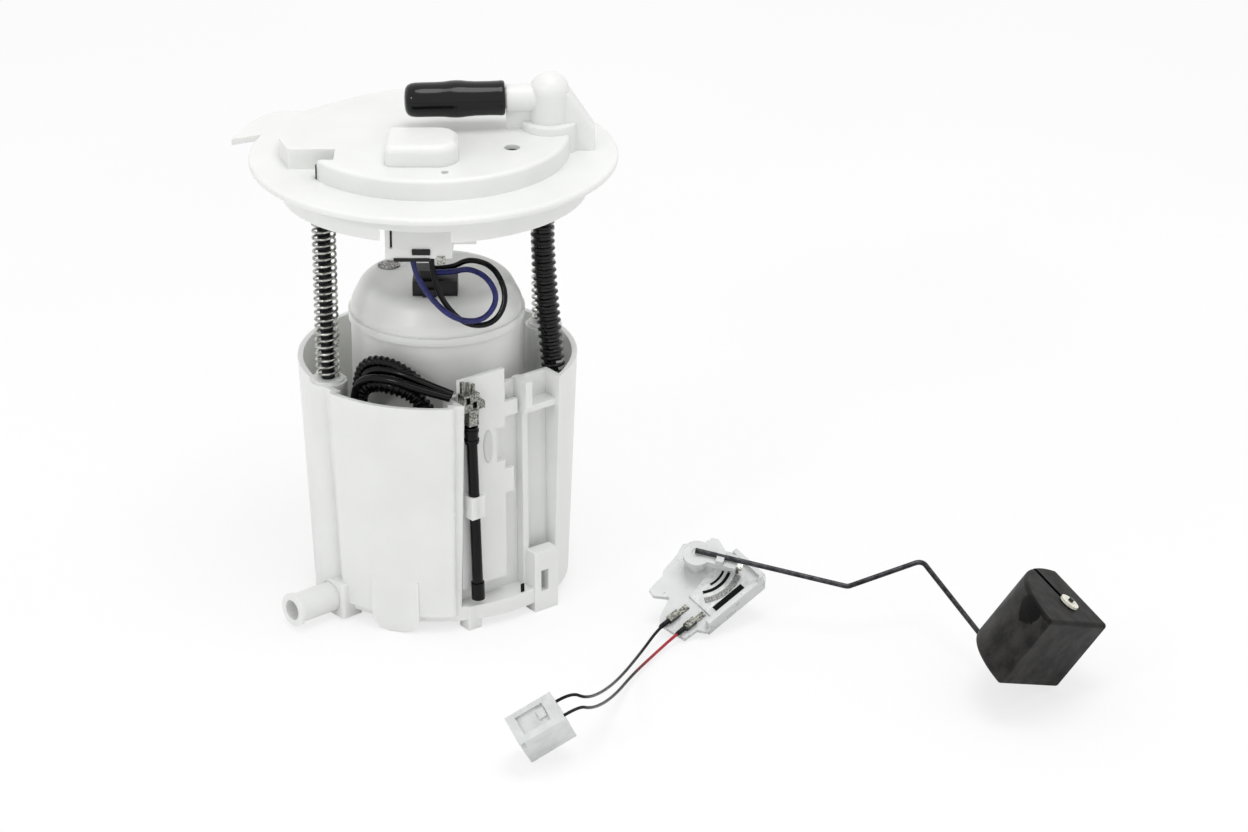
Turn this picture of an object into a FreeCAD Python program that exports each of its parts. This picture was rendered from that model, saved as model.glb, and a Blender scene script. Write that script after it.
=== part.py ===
import FreeCAD, Part

import math
import os
import re

import Sketcher
from FreeCAD import Placement, Rotation, Vector

# Fuel pump module with its separate tank level sender, in millimetres.
# The module's axis is X = Y = 0 and the floor that both stand on is Z = 0.
# The outlet and the pump plug face the front, which is -Y.

os.makedirs("parts", exist_ok=True)
doc = FreeCAD.newDocument("fuel_pump")

# Driving sizes
SIZES = {
    # clearances
    "running_gap": 0.05,
    "moving_gap": 0.3,
    "mating_gap": 0.1,
    # flange cover
    "flange_radius": 70,
    "flange_seat_level": 175,
    "flange_rim": 3,
    "flange_rim_round": 1.2,
    "spigot_radius": 58.5,
    "spigot_wall": 2.5,
    "spigot_depth": 11,
    "spigot_lip": 6.5,
    "spigot_gap_depth": 5,
    "plateau_radius": 51.5,
    "plateau_rise": 8,
    "plateau_round": 1.5,
    "cavity_radius": 39.5,
    "cavity_roof": 3,
    "ear_reach": 9,
    "ear_thickness": 2.5,
    "boss_left": 16.5,
    "boss_width": 27,
    "boss_front": 37.5,
    "boss_depth": 23.5,
    "boss_rise": 8,
    "boss_round": 3,
    "boss_corner": 8,
    "boss_wall": 3,
    "boss_front_wall": 5.1,
    "boss_roof": 2.5,
    "vent_hole_x": 30.2,
    "vent_hole_y": 16.5,
    "vent_hole_radius": 3,
    "pin_hole_x": 6,
    "pin_hole_y": 42.5,
    "pin_hole_radius": 1.5,
    # outlet elbow on the flange
    "pillar_x": 44,
    "pillar_y": 6,
    "pillar_radius": 7.5,
    "pillar_rise": 22,
    "pillar_base_radius": 11,
    "pillar_base_rise": 3,
    "buttress_reach": 17,
    "buttress_width": 9,
    "outlet_drop": 10,
    "outlet_turn": 4,
    "outlet_neck_radius": 5.3,
    "outlet_neck_end": 16.5,
    "outlet_radius": 4,
    "outlet_bead": 0.7,
    "outlet_bead_width": 4,
    "outlet_length": 51,
    "outlet_bore": 2.6,
    "web_thickness": 3,
    # outlet cap
    "cap_radius": 6.65,
    "cap_bulge": 0.5,
    "cap_bulge_width": 6,
    "cap_end_wall": 3.5,
    # strut rods and springs
    "strut_x": 40.5,
    "strut_y": 27.5,
    "rod_radius": 2.5,
    "rod_boss_radius": 6.6,
    "rod_boss_drop": 5,
    "rod_end_level": 47,
    "rod_clip_radius": 4.2,
    "rod_clip_thickness": 1,
    "spring_radius": 4.2,
    "spring_wire": 1,
    "spring_pitch": 2.8,
    # lead socket under the flange
    "socket_left": 17,
    "socket_width": 25,
    "socket_front": 38.5,
    "socket_depth": 15,
    "socket_bottom": 150,
    "socket_wall": 1.5,
    "socket_plug_height": 20,
    "socket_slot_width": 0.9,
    "socket_slot_top": 22,
    "socket_slot_left": 1.8,
    "socket_slot_right": 21.6,
    "side_box_width": 9,
    "side_box_depth": 11,
    "side_box_bottom": 155,
    "lock_thickness": 1.6,
    "lead_radius": 1.1,
    "terminal_width": 2,
    "terminal_thickness": 0.8,
    # hose
    "hose_radius": 4.7,
    "hose_groove": 0.9,
    "hose_bore": 3.4,
    "hose_pitch": 3,
    "hose_top_x": 43,
    "hose_top_y": 5,
    "hose_low_x": 45.6,
    "hose_low_y": 6.5,
    "hose_low_level": 86,
    "hose_spigot": 3.3,
    "hose_spigot_bore": 2.2,
    "hose_overlap": 9,
    # filter canister
    "can_radius": 33,
    "can_wall": 2.2,
    "can_bottom": 12,
    "can_split": 112,
    "can_shoulder": 118,
    "can_top": 128,
    "can_top_radius": "=can_radius - 5",
    "can_round": 7,
    "seam_width": 1,
    "seam_height": 6,
    "well_radius": 21.8,
    "element_radius": "=can_radius - can_wall - 0.6",
    "element_core": 22.2,
    "element_bottom": 16,
    "element_top": 106,
    "pleat_count": 24,
    "seal_radius": 0.8,
    # pump cartridge
    "shell_radius": 19.5,
    "shell_wall": 0.8,
    "shell_bottom": 14,
    "shell_top": 80,
    "shell_lip": 1,
    "inlet_cover_height": 5,
    "impeller_radius": 16.5,
    "impeller_height": 3.8,
    "impeller_side_gap": 0.15,
    "blade_count": 20,
    "blade_depth": 3,
    "blade_thickness": 1,
    "channel_plate_height": 5,
    "inlet_spigot": 5.5,
    "inlet_spigot_length": 3,
    "shaft_radius": 1.5,
    "shaft_top": 76,
    "bush_radius": 3.5,
    "bush_height": 4,
    "magnet_wall": 3,
    "magnet_bottom": 30,
    "magnet_top": 62,
    "air_gap": 0.6,
    "armature_bottom": 33,
    "armature_top": 59,
    "armature_slots": 8,
    "slot_width": 3,
    "slot_depth": 4,
    "commutator_radius": 7,
    "commutator_bottom": 62,
    "commutator_top": 67.5,
    "brush_width": 4,
    "brush_length": 6,
    "brush_height": 4,
    "end_cap_bottom": 68,
    "end_cap_spigot": 5,
    "end_cap_rise": 12,
    "valve_radius": 2.4,
    "valve_length": 3,
    "valve_travel": 2,
    "valve_spring_wire": 0.5,
    "pump_pin_height": 9,
    # pressure regulator
    "regulator_y": 41,
    "regulator_radius": 7,
    "regulator_bottom": 52,
    "regulator_height": 22,
    "regulator_wall": 1,
    "cup_wall": 1.3,
    "cup_height": 15,
    "plunger_radius": 2.6,
    "plunger_travel": 1,
    # reservoir bucket
    "bucket_top": 96,
    "bucket_bottom": 4,
    "bucket_top_radius": 54,
    "bucket_low_radius": 50,
    "bucket_wall": 2,
    "bucket_floor": 2.5,
    "base_pad_radius": 14,
    "seat_ring_radius": "=can_radius + 3",
    "seat_ring_inner": "=can_radius - 2.5",
    "seat_arch_width": 24,
    "seat_arch_height": 4.5,
    "groove_radius": 5.6,
    "groove_wall": 1.6,
    "spring_seat_thickness": 3,
    "bridge_level": 57,
    "bridge_thickness": 4,
    "rear_foot_radius": 5,
    "rear_foot_x": 10,
    "rear_foot_y": 43,
    "tongue_x": 14.5,
    "tongue_y": 46.5,
    "tongue_width": 19,
    "tongue_thickness": 4,
    "tongue_top": 22,
    "tongue_turn": 18,
    # front panel that stands proud of the bucket
    "panel_start": 224.7,
    "panel_sweep": 54.3,
    "panel_rise": 2.5,
    "panel_bottom": 7,
    "panel_round": 2.2,
    "panel_inset": 2.6,
    # sender bay in the bucket
    "bay_angle": 52.3,
    "bay_floor_reach": 38,
    "bay_left": 22.5,
    "bay_right": 22,
    "bay_bottom": 10,
    "bay_wall": 2,
    "bay_beyond": 70,
    "hook_reach": 3,
    "hook_size": 6,
    "hook_side": 2,
    "clip_foot_reach": 6,
    "clip_foot_depth": 6,
    "clip_foot_side": 9,
    "clip_foot_width": 11,
    "clip_foot_height": 25,
    "clip_slot_side": 12,
    "clip_slot_width": 3.5,
    "clip_slot_level": 8,
    "clip_slot_height": 9,
    "rail_side": 8,
    "rail_width": 2.5,
    "rail_depth": 5,
    "rail_top": 84,
    "shelf_side": 7,
    "shelf_depth": 8,
    "shelf_thickness": 2.5,
    "lug_width": 3,
    "lug_depth": 9,
    "bracket_reach": "=bay_floor_reach + 6.5",
    "bracket_thickness": 2,
    "bracket_left": 21.5,
    "bracket_right": 0.5,
    "bracket_bottom": 17,
    "bracket_top": 104,
    "bracket_window": 14,
    "bracket_window_level": 66,
    "bracket_rib": 2,
    "low_tab_reach": 4,
    "low_tab_level": 52,
    "low_tab_height": 10,
    "high_tab_reach": 6,
    "high_tab_level": 84,
    "high_tab_height": 6,
    "holder_side": 1.1,
    "holder_width": 6,
    "holder_reach": 5.6,
    "holder_level": 48,
    "holder_height": 9,
    # sensor on the bracket
    "sheath_radius": 2.1,
    "sheath_top": 86,
    "sheath_bottom": 13,
    "collar_radius": 2.6,
    "sheath_ring": 0.3,
    "collar_height": 7,
    "sensor_foot_side": 5.2,
    "sensor_head_side": 3.1,
    "crimp_side": 0.9,
    "crimp_width": 4.4,
    "crimp_reach": 5,
    "terminal_side": -0.8,
    "terminal_body_width": 7.1,
    "terminal_body_reach": 4.2,
    "terminal_body_level": 92.5,
    "terminal_body_height": 7,
    "prong_width": 1.2,
    "window_width": 1.9,
    "window_height": 2.6,
    "loom_radius": 3.4,
    # jet pump
    "jet_turn": 220.8,
    "jet_level": 8,
    "jet_radius": 5.8,
    "jet_bore": 4,
    "jet_collar_radius": 7.5,
    "jet_collar_start": 46,
    "jet_collar_end": 53,
    "jet_block_start": 46,
    "jet_block_end": 55,
    "jet_block_width": 16,
    "jet_block_height": 14,
    "jet_block_round": 1.5,
    "jet_start": 37,
    "jet_end": 73.5,
    "nozzle_length": 8,
    "nozzle_bore": 0.8,
    # inlet valve in the bucket's floor
    "inlet_valve_x": 21,
    "inlet_valve_y": 36.5,
    "valve_port_ring": 3.2,
    "valve_port": 1,
    "umbrella_radius": 5,
    "umbrella_thickness": 1.1,
    "umbrella_stem": 1.2,
    "umbrella_bulb": 1.9,
    "umbrella_travel": 1.2,
    # strainer
    "strainer_radius": 25,
    "strainer_height": 3.4,
    # pump plug
    "plug_width": 17,
    "plug_depth": 10,
    "plug_height": 5.8,
    "plug_front": 22,
    "plug_left": 8,
    # level sender
    "sender_x": 100.2,
    "sender_y": 30.2,
    "sender_level": 16,
    "sender_tilt": 34,
    "sender_turn": 43,
    "base_thickness": 2,
    "sender_leg": 16.2,
    "sender_wall": 2,
    "card_thickness": 0.8,
    "card_level": 5,
    "track_thickness": 0.15,
    "bar_length": 15,
    "bar_width": 2.2,
    "strip_length": 10,
    "strip_width": 2.2,
    "strip_thickness": 0.6,
    "sender_crimp_length": 5,
    "sender_crimp_width": 2.6,
    "sender_crimp_height": 2.4,
    "laying_gap": 0.02,
    "track_radius": 12.5,
    "pivot_hub": 4,
    "pivot_pin": 2,
    "arm_level": 15,
    "arm_wire": 1,
    "arm_bend": 3,
    "holder_thickness": 3,
    "paddle_length": 16,
    "paddle_width": 6,
    "arm_clip_reach": 8,
    "arm_clip_length": 3,
    "arm_clip_width": 5,
    "arm_clip_rise": 1.8,
    "contact_width": 1.2,
    # float
    "float_u": 31,
    "float_v": 45,
    "float_length": 31.5,
    "float_round": 1.5,
    "bore_u": 11.2,
    "bore_v": 16.7,
    "float_slot_width": 2.6,
    "float_slot_depth": 2,
    "retainer_radius": 3.8,
    "retainer_thickness": 1,
    # sender leads and plug
    "thin_lead_radius": 0.6,
    "sender_plug_length": 19,
    "sender_plug_width": 12,
    "sender_plug_height": 20,
    "plug_recess_length": 11,
    "plug_recess_width": 7.5,
    "plug_recess_depth": 1.4,
    "plug_notch": 2,
    "plug_notch_height": 5.5,
}

sheet = doc.addObject("Spreadsheet::Sheet", "Sizes")
for row, alias in enumerate(SIZES, start=1):
    sheet.set(f"A{row}", alias)
    sheet.setAlias(f"B{row}", alias)
for row, number in enumerate(SIZES.values(), start=1):
    sheet.set(f"B{row}", str(number))
doc.recompute()

pieces = {}


def sized(text):
    """The expression with each size's name pointed at the sheet."""
    return re.sub(r"[a-z_]+", lambda m: "Sizes." + m[0] if m[0] in SIZES else m[0], str(text))


def value(text):
    """The number that an expression of the sizes gives."""
    return float(sheet.evalExpression(sized(text)))


def bind(item, **sizes):
    for key, text in sizes.items():
        item.setExpression(key, sized(text))
    return item


def place(item, at=("0", "0", "0"), turn=None):
    """Puts an object at a bound place, turned by a fixed rotation."""
    item.Placement = Placement(Vector(*(value(text) for text in at)), turn or Rotation())
    for letter, text in zip("xyz", at):
        if re.search("[a-z]", text):
            item.setExpression(f"Placement.Base.{letter}", sized(text))
    return item


def move(item, placement):
    """Puts an object at a placement worked out from the sizes."""
    for letter in "xyz":
        item.setExpression(f"Placement.Base.{letter}", None)
    item.Placement = placement
    return item


def cylinder(name, radius, height, at=("0", "0", "0"), turn=None):
    item = doc.addObject("Part::Cylinder", name)
    return place(bind(item, Radius=radius, Height=height), at, turn)


def cone(name, low, high, height, at=("0", "0", "0"), turn=None):
    item = doc.addObject("Part::Cone", name)
    return place(bind(item, Radius1=low, Radius2=high, Height=height), at, turn)


def box(name, across, deep, high, at=("0", "0", "0"), turn=None):
    item = doc.addObject("Part::Box", name)
    return place(bind(item, Length=across, Width=deep, Height=high), at, turn)


def torus(name, ring, section, at=("0", "0", "0")):
    item = doc.addObject("Part::Torus", name)
    return place(bind(item, Radius1=ring, Radius2=section), at)


def fuse(name, *items):
    item = doc.addObject("Part::MultiFuse", name)
    item.Shapes = list(items)
    item.Refine = True
    return item


def cut(name, base, *tools):
    item = doc.addObject("Part::Cut", name)
    item.Base = base
    item.Tool = tools[0] if len(tools) == 1 else fuse(name + "_tools", *tools)
    item.Refine = True
    return item


def common(name, *items):
    item = doc.addObject("Part::MultiCommon", name)
    item.Shapes = list(items)
    return item


def origin_plane(body, role):
    return next(item for item in body.Origin.OriginFeatures if item.Role == role)


def outline(body, name, points, role):
    """A closed outline whose every corner is bound to the sheet."""
    sketch = body.newObject("Sketcher::SketchObject", name)
    sketch.AttachmentSupport = [(origin_plane(body, role), "")]
    sketch.MapMode = "FlatFace"
    corners = [Vector(value(x), value(y), 0) for x, y in points]
    count = len(corners)
    for index, corner in enumerate(corners):
        sketch.addGeometry(Part.LineSegment(corner, corners[(index + 1) % count]), False)
    for index in range(count):
        following = (index + 1) % count
        sketch.addConstraint(Sketcher.Constraint("Coincident", index, 2, following, 1))
    for index, (x, y) in enumerate(points):
        for kind, text, number in (("DistanceX", x, corners[index].x), ("DistanceY", y, corners[index].y)):
            rank = sketch.addConstraint(Sketcher.Constraint(kind, -1, 1, index, 1, number))
            if re.search("[a-z]", str(text)):
                sketch.setExpression(f"Constraints[{rank}]", sized(text))
    return sketch


def turned(name, points, sweep="360"):
    """A body of revolution about Z from (radius, level) corners."""
    body = doc.addObject("PartDesign::Body", name)
    sketch = outline(body, name + "_profile", points, "XZ_Plane")
    feature = body.newObject("PartDesign::Revolution", name + "_turn")
    feature.Profile = sketch
    feature.ReferenceAxis = (sketch, ["V_Axis"])
    feature.Angle = value(sweep)
    doc.recompute()
    return body


def padded(name, points, height, at=("0", "0", "0"), turn=None, role="XY_Plane"):
    """A body raised from an outline, XY corners by default."""
    body = doc.addObject("PartDesign::Body", name)
    sketch = outline(body, name + "_outline", points, role)
    feature = body.newObject("PartDesign::Pad", name + "_pad")
    feature.Profile = sketch
    feature.setExpression("Length", sized(height))
    place(body, at, turn)
    doc.recompute()
    return body


def rounded(body, name, radius, chosen):
    """A fillet on the body's edges that a test of their middle picks."""
    tip = body.Tip
    names = []
    for number, edge in enumerate(tip.Shape.Edges, start=1):
        first, last = edge.ParameterRange
        if chosen(edge.valueAt((first + last) / 2), edge):
            names.append(f"Edge{number}")
    feature = body.newObject("PartDesign::Fillet", name)
    feature.Base = (tip, names)
    feature.setExpression("Radius", sized(radius))
    doc.recompute()
    return body


def ring(name, outer, inner, height, at=("0", "0", "0"), turn=None):
    """A tube with a through bore."""
    rim = cylinder(name + "_rim", outer, height, at, turn)
    hole = cylinder(name + "_hole", inner, height, at, turn)
    return cut(name, rim, hole)


def shaped(name, shape, placement=None):
    item = doc.addObject("Part::Feature", name)
    item.Shape = shape
    if placement is not None:
        item.Placement = placement
    return item


def keep(node, item, placement=None):
    item.Label = node
    if placement is not None:
        move(item, placement.multiply(item.Placement))
    pieces[node] = item


def near(a, b, slack=0.01):
    return abs(a - b) < slack


def along(direction):
    return Rotation(Vector(0, 0, 1), direction)


def at_strut(side):
    return (f"{side} * strut_x", f"{side} * strut_y")


RIM_TOP = "flange_seat_level + flange_rim"
PLATEAU_TOP = f"{RIM_TOP} + plateau_rise"
CAVITY_TOP = f"{PLATEAU_TOP} - cavity_roof"
SPIGOT_INNER = "spigot_radius - spigot_wall"
SIDES = {"left": "-1", "right": "1"}

# Hose line, from the canister's outlet up to the flange's elbow
hose_low = Vector(value("hose_low_x"), -value("hose_low_y"), value("hose_low_level"))
hose_top = Vector(value("hose_top_x"), value("hose_top_y"), value("flange_seat_level - 1"))
hose_line = (hose_top - hose_low).normalize()
hose_turn = along(hose_line)

# Outlet line, from the elbow's pillar towards -X and a little to the front
outlet_angle = math.radians(value("outlet_turn"))
outlet_line = Vector(-math.cos(outlet_angle), -math.sin(outlet_angle), 0)
outlet_turn = along(outlet_line)
OUTLET_LEVEL = f"{PLATEAU_TOP} + pillar_rise - outlet_drop"
OUTLET_START = ("pillar_x", "pillar_y", OUTLET_LEVEL)


def spun(angle, start=Vector()):
    """A place turned about the Z axis by an angle in degrees."""
    return Placement(Vector(), Rotation(Vector(0, 0, 1), angle)).multiply(Placement(start, Rotation()))


def at_angle(radius, angle):
    """A corner of an outline at a radius and an angle in degrees."""
    return f"({radius}) * cos({angle} deg)", f"({radius}) * sin({angle} deg)"


def on_outlet(distance):
    """The place at a distance from the pillar along the outlet line."""
    return (
        f"pillar_x - ({distance}) * cos(outlet_turn * 1 deg)",
        f"pillar_y - ({distance}) * sin(outlet_turn * 1 deg)",
        OUTLET_LEVEL,
    )


def elbow_bore(start):
    """The slanting way from the hose up to the outlet's own bore."""
    item = cylinder("elbow_bore", "hose_spigot_bore", "1")
    item.setExpression("Height", None)
    item.Height = (value(OUTLET_LEVEL) - start.z) / hose_line.z + 1
    return move(item, Placement(start - hose_line, hose_turn))


def flange_cover():
    plate = turned("cover_plate", [
        ("0", "flange_seat_level"), (SPIGOT_INNER, "flange_seat_level"),
        (SPIGOT_INNER, "flange_seat_level - spigot_depth"),
        ("spigot_radius", "flange_seat_level - spigot_depth"),
        ("spigot_radius", "flange_seat_level"), ("flange_radius", "flange_seat_level"),
        ("flange_radius", RIM_TOP), ("plateau_radius", RIM_TOP),
        ("plateau_radius", PLATEAU_TOP), ("0", PLATEAU_TOP),
    ])
    rounded(plate, "rim_round", "flange_rim_round",
            lambda p, e: near(e.BoundBox.XMax, value("flange_radius")) and e.BoundBox.XLength > 100)
    rounded(plate, "plateau_edge", "plateau_round",
            lambda p, e: near(e.BoundBox.XMax, value("plateau_radius")) and near(p.z, value(PLATEAU_TOP))
            and e.BoundBox.XLength > 100)
    block = padded("cover_block", [
        ("-53.6", "-18.3"), ("-36", "-18.3"), ("-36", "20"), ("-54.5", "20"), ("-57.8", "6"),
        ("-57.8", "-6.5"),
    ], "plateau_rise + 1", ("0", "0", f"{RIM_TOP} - 1"))
    notch = box("cover_notch", "27", "11.2", "plateau_rise + 5", ("-63", "-29.5", RIM_TOP))
    ear_corners = [("ear_reach", 170), ("ear_reach", 163), ("ear_reach", 156), ("ear_reach", 149),
                   ("ear_reach - 3", 143), ("-1", 139), ("-2", 150), ("-2", 163)]
    ear = padded("cover_ear", [at_angle(f"flange_radius + {out}", angle) for out, angle in ear_corners],
                 "ear_thickness",
                 ("0", "0", f"{RIM_TOP} - ear_thickness"))
    pillar = cylinder("pillar", "pillar_radius", "pillar_rise - pillar_radius",
                      ("pillar_x", "pillar_y", PLATEAU_TOP))
    dome = doc.addObject("Part::Sphere", "pillar_dome")
    place(bind(dome, Radius="pillar_radius"),
          ("pillar_x", "pillar_y", f"{PLATEAU_TOP} + pillar_rise - pillar_radius"))
    foot = cylinder("pillar_foot", "pillar_base_radius", "plateau_rise + pillar_base_rise",
                    ("pillar_x", "pillar_y", RIM_TOP))
    buttress = padded("pillar_buttress", [
        ("0", "0"), ("buttress_reach", "0"), ("buttress_reach", "plateau_rise"),
        ("pillar_radius", "plateau_rise + pillar_rise - pillar_radius"),
        ("0", "plateau_rise + pillar_rise - pillar_radius"),
    ], "buttress_width", ("pillar_x", "pillar_y + buttress_width / 2", RIM_TOP), role="XZ_Plane")
    neck = cylinder("outlet_neck", "outlet_neck_radius", "outlet_neck_end", OUTLET_START, outlet_turn)
    nipple = cylinder("outlet_nipple", "outlet_radius", "outlet_length", OUTLET_START, outlet_turn)
    bead = cylinder("outlet_bead", "outlet_radius + outlet_bead", "outlet_bead_width",
                    on_outlet("outlet_length - outlet_bead_width - 3"), outlet_turn)
    web = box("outlet_web", "outlet_neck_end - 1", "web_thickness",
              "pillar_rise - outlet_drop",
              ("pillar_x - outlet_neck_end", "pillar_y - web_thickness / 2 - 0.6", PLATEAU_TOP))
    spigots = []
    for side, sign in SIDES.items():
        x, y = at_strut(sign)
        spigots.append(cylinder(f"rod_boss_{side}", "rod_boss_radius", "rod_boss_drop + 3",
                                (x, y, "flange_seat_level - rod_boss_drop")))
    socket = box("socket_body", "socket_width", "socket_depth", f"{CAVITY_TOP} + 1 - socket_bottom",
                 ("-socket_left", "-socket_front", "socket_bottom"))
    side_box = box("socket_side", "side_box_width + 1", "side_box_depth",
                   f"{CAVITY_TOP} + 1 - side_box_bottom",
                   ("socket_width - socket_left - 1", "-socket_front + 2", "side_box_bottom"))
    low_start = hose_top - hose_line * value("hose_overlap")
    low_spigot = move(cylinder("elbow_spigot", "hose_spigot", "hose_overlap + 12"),
                      Placement(low_start, hose_turn))
    cavity = cylinder("cover_cavity", "cavity_radius", f"{CAVITY_TOP} - flange_seat_level + 1",
                      ("0", "0", "flange_seat_level - 1"))
    gap = box("spigot_gap", "socket_width + 1.5", "spigot_wall + spigot_gap_depth + 1",
              "spigot_depth + 1 - spigot_lip",
              ("-socket_left - 1", "-spigot_radius - 1", "flange_seat_level - spigot_depth - 1"))
    lid = cut("cover_lid", fuse("cover_top", plate, block, ear), notch, cavity, gap)
    solid = fuse("cover_solid", lid, pillar, dome, foot, buttress, neck, nipple, bead, web,
                 socket, side_box, low_spigot, *spigots)
    holes = [
        cylinder("vent_hole", "vent_hole_radius", "plateau_rise + flange_rim + 4",
                 ("vent_hole_x", "-vent_hole_y", "flange_seat_level - 2")),
        cylinder("pin_hole", "pin_hole_radius", "5", ("pin_hole_x", "-pin_hole_y", f"{PLATEAU_TOP} - 4")),
        cylinder("outlet_bore", "outlet_bore", "outlet_length + 1", OUTLET_START, outlet_turn),
        elbow_bore(low_start),
        box("plug_well", "socket_width - 2 * socket_wall", "socket_depth - 2 * socket_wall",
            "socket_plug_height + lock_thickness + 1",
            ("-socket_left + socket_wall", "-socket_front + socket_wall", "socket_bottom - 1")),
        box("side_well", "side_box_width - 1.5", "side_box_depth - 3", "8",
            ("socket_width - socket_left", "-socket_front + 3.5", "side_box_bottom - 1")),
    ]
    for name, x, low, high in (
            ("left", "-socket_left + socket_slot_left", "4", "socket_slot_top"),
            ("right", "-socket_left + socket_slot_left + socket_slot_right - 11", "16", "socket_slot_top")):
        holes.append(box(f"socket_slot_{name}", "socket_slot_width", "socket_wall + 0.2", f"{high} - {low}",
                         (x, "-socket_front - 0.1", f"socket_bottom + {low}")))
    for side, sign in SIDES.items():
        x, y = at_strut(sign)
        holes.append(cylinder(f"rod_socket_{side}", "rod_radius", "rod_boss_drop + 8",
                              (x, y, "flange_seat_level - rod_boss_drop")))
    for x in TERMINALS:
        holes += terminal(f"terminal_slot_{TERMINALS.index(x)}", x)
    keep("flange_cover", cut("flange_cover", solid, *holes))


def connector_shroud():
    """The raised electrical socket, its mouth towards the rear."""
    boss = padded("shroud_block", [
        ("0", "0"), ("boss_width", "0"), ("boss_width", "boss_depth"), ("0", "boss_depth"),
    ], "boss_rise", ("-boss_left", "-boss_front", PLATEAU_TOP))
    rounded(boss, "boss_corner", "boss_corner",
            lambda p, e: near(e.BoundBox.ZLength, value("boss_rise")) and near(p.x, value("boss_width")))
    rounded(boss, "boss_side", "boss_round",
            lambda p, e: near(e.BoundBox.ZLength, value("boss_rise")) and near(p.x, 0))
    rounded(boss, "boss_top", "boss_round", lambda p, e: near(p.z, value("boss_rise")))
    well = box("connector_well", "boss_width - 2 * boss_wall", "boss_depth - boss_front_wall + 1",
               "boss_rise - boss_roof",
               ("-boss_left + boss_wall", "-boss_front + boss_front_wall", PLATEAU_TOP))
    keep("connector_shroud", cut("connector_shroud", boss, well))


TERMINALS = ["-11.5", "-6.5", "-1.5", "3.5"]
TERMINAL_Y = "boss_front - 8"


def terminal(name, x):
    """A blade that rises from the lead plug and bends into the socket."""
    low = f"socket_bottom + socket_plug_height - 5"
    rise = box(name + "_rise", "terminal_thickness", "terminal_width", f"{PLATEAU_TOP} + 3.3 - ({low})",
               (x, f"-({TERMINAL_Y})", low))
    reach = box(name + "_reach", "terminal_thickness", "11", "terminal_width - 0.7",
                (x, f"-({TERMINAL_Y})", f"{PLATEAU_TOP} + 2"))
    return [rise, reach]


def flange_terminals():
    blades = [fuse(f"terminal_{i}", *terminal(f"blade_{i}", x)) for i, x in enumerate(TERMINALS)]
    keep("flange_terminals", compound("flange_terminals", blades))


def compound(name, items):
    item = doc.addObject("Part::Compound", name)
    item.Links = list(items)
    return item


def outlet_cap():
    bore = "outlet_radius + outlet_bead + moving_gap"
    start = "outlet_neck_end + 0.5"
    end = "outlet_length + 0.5"
    middle = f"(({start}) + ({end}) + cap_end_wall) / 2"
    cap = turned("cap_body", [
        (bore, start), ("cap_radius", start), ("cap_radius", f"{middle} - cap_bulge_width"),
        ("cap_radius + cap_bulge", f"{middle} - cap_bulge_width / 3"),
        ("cap_radius + cap_bulge", f"{middle} + cap_bulge_width / 3"),
        ("cap_radius", f"{middle} + cap_bulge_width"),
        ("cap_radius", f"{end} - 1"), ("cap_radius - 1.3", f"{end} + cap_end_wall - 1.3"),
        ("cap_radius - 3.5", f"{end} + cap_end_wall"), ("0", f"{end} + cap_end_wall"),
        ("0", end), (bore, end),
    ])
    place(cap, OUTLET_START, outlet_turn)
    keep("outlet_cap", cap)


def guide_rods():
    for side, sign in SIDES.items():
        x, y = at_strut(sign)
        top = "flange_seat_level + 8"
        rod = cylinder(f"guide_rod_{side}", "rod_radius", f"{top} - rod_end_level", (x, y, "rod_end_level"))
        keep(f"guide_rod_{side}", rod)
    clips = []
    for side, sign in SIDES.items():
        x, y = at_strut(sign)
        level = "bridge_level - bridge_thickness - moving_gap - rod_clip_thickness"
        clips.append(ring(f"rod_clip_{side}", "rod_clip_radius", "rod_radius", "rod_clip_thickness",
                          (x, y, level)))
    keep("rod_clips", compound("rod_clips", clips))


def coil_spring(node, foot, top, radius, pitch, wire, corners=4):
    """A coil spring of a many-sided wire, from its foot up to a level."""
    path = Part.makeHelix(pitch, top - foot.z - wire, radius)
    points = []
    for index in range(corners + 1):
        angle = math.radians(360 * index / corners + 45)
        points.append(Vector(radius + 0.6 * wire * math.cos(angle), 0, 0.6 * wire * math.sin(angle)))
    section = Part.makePolygon(points)
    coil = Part.Wire(path).makePipeShell([section], True, True)
    keep(node, shaped(node, coil, Placement(foot + Vector(0, 0, wire / 2), Rotation())))


def strut_springs():
    low = value("bucket_top + 1 + moving_gap")
    high = value("flange_seat_level - rod_boss_drop - moving_gap")
    for side, sign in SIDES.items():
        x, y = (value(text) for text in at_strut(sign))
        coil_spring(f"strut_spring_{side}", Vector(x, y, low), high, value("spring_radius"),
                    value("spring_pitch"), value("spring_wire"))


def corrugated_hose():
    length = (hose_top - hose_low).Length - value("moving_gap")
    outer, groove, bore = value("hose_radius"), value("hose_groove"), value("hose_bore")
    count = int(length / value("hose_pitch"))
    pitch = length / count
    points = [Vector(bore, 0, 0)]
    for index in range(count):
        points.append(Vector(outer - groove, 0, index * pitch))
        points.append(Vector(outer, 0, (index + 0.5) * pitch))
    points += [Vector(outer - groove, 0, length), Vector(bore, 0, length), points[0]]
    tube = Part.Face(Part.makePolygon(points)).revolve(Vector(), Vector(0, 0, 1), 360)
    keep("corrugated_hose", shaped("corrugated_hose", tube, Placement(hose_low, hose_turn)))


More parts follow.
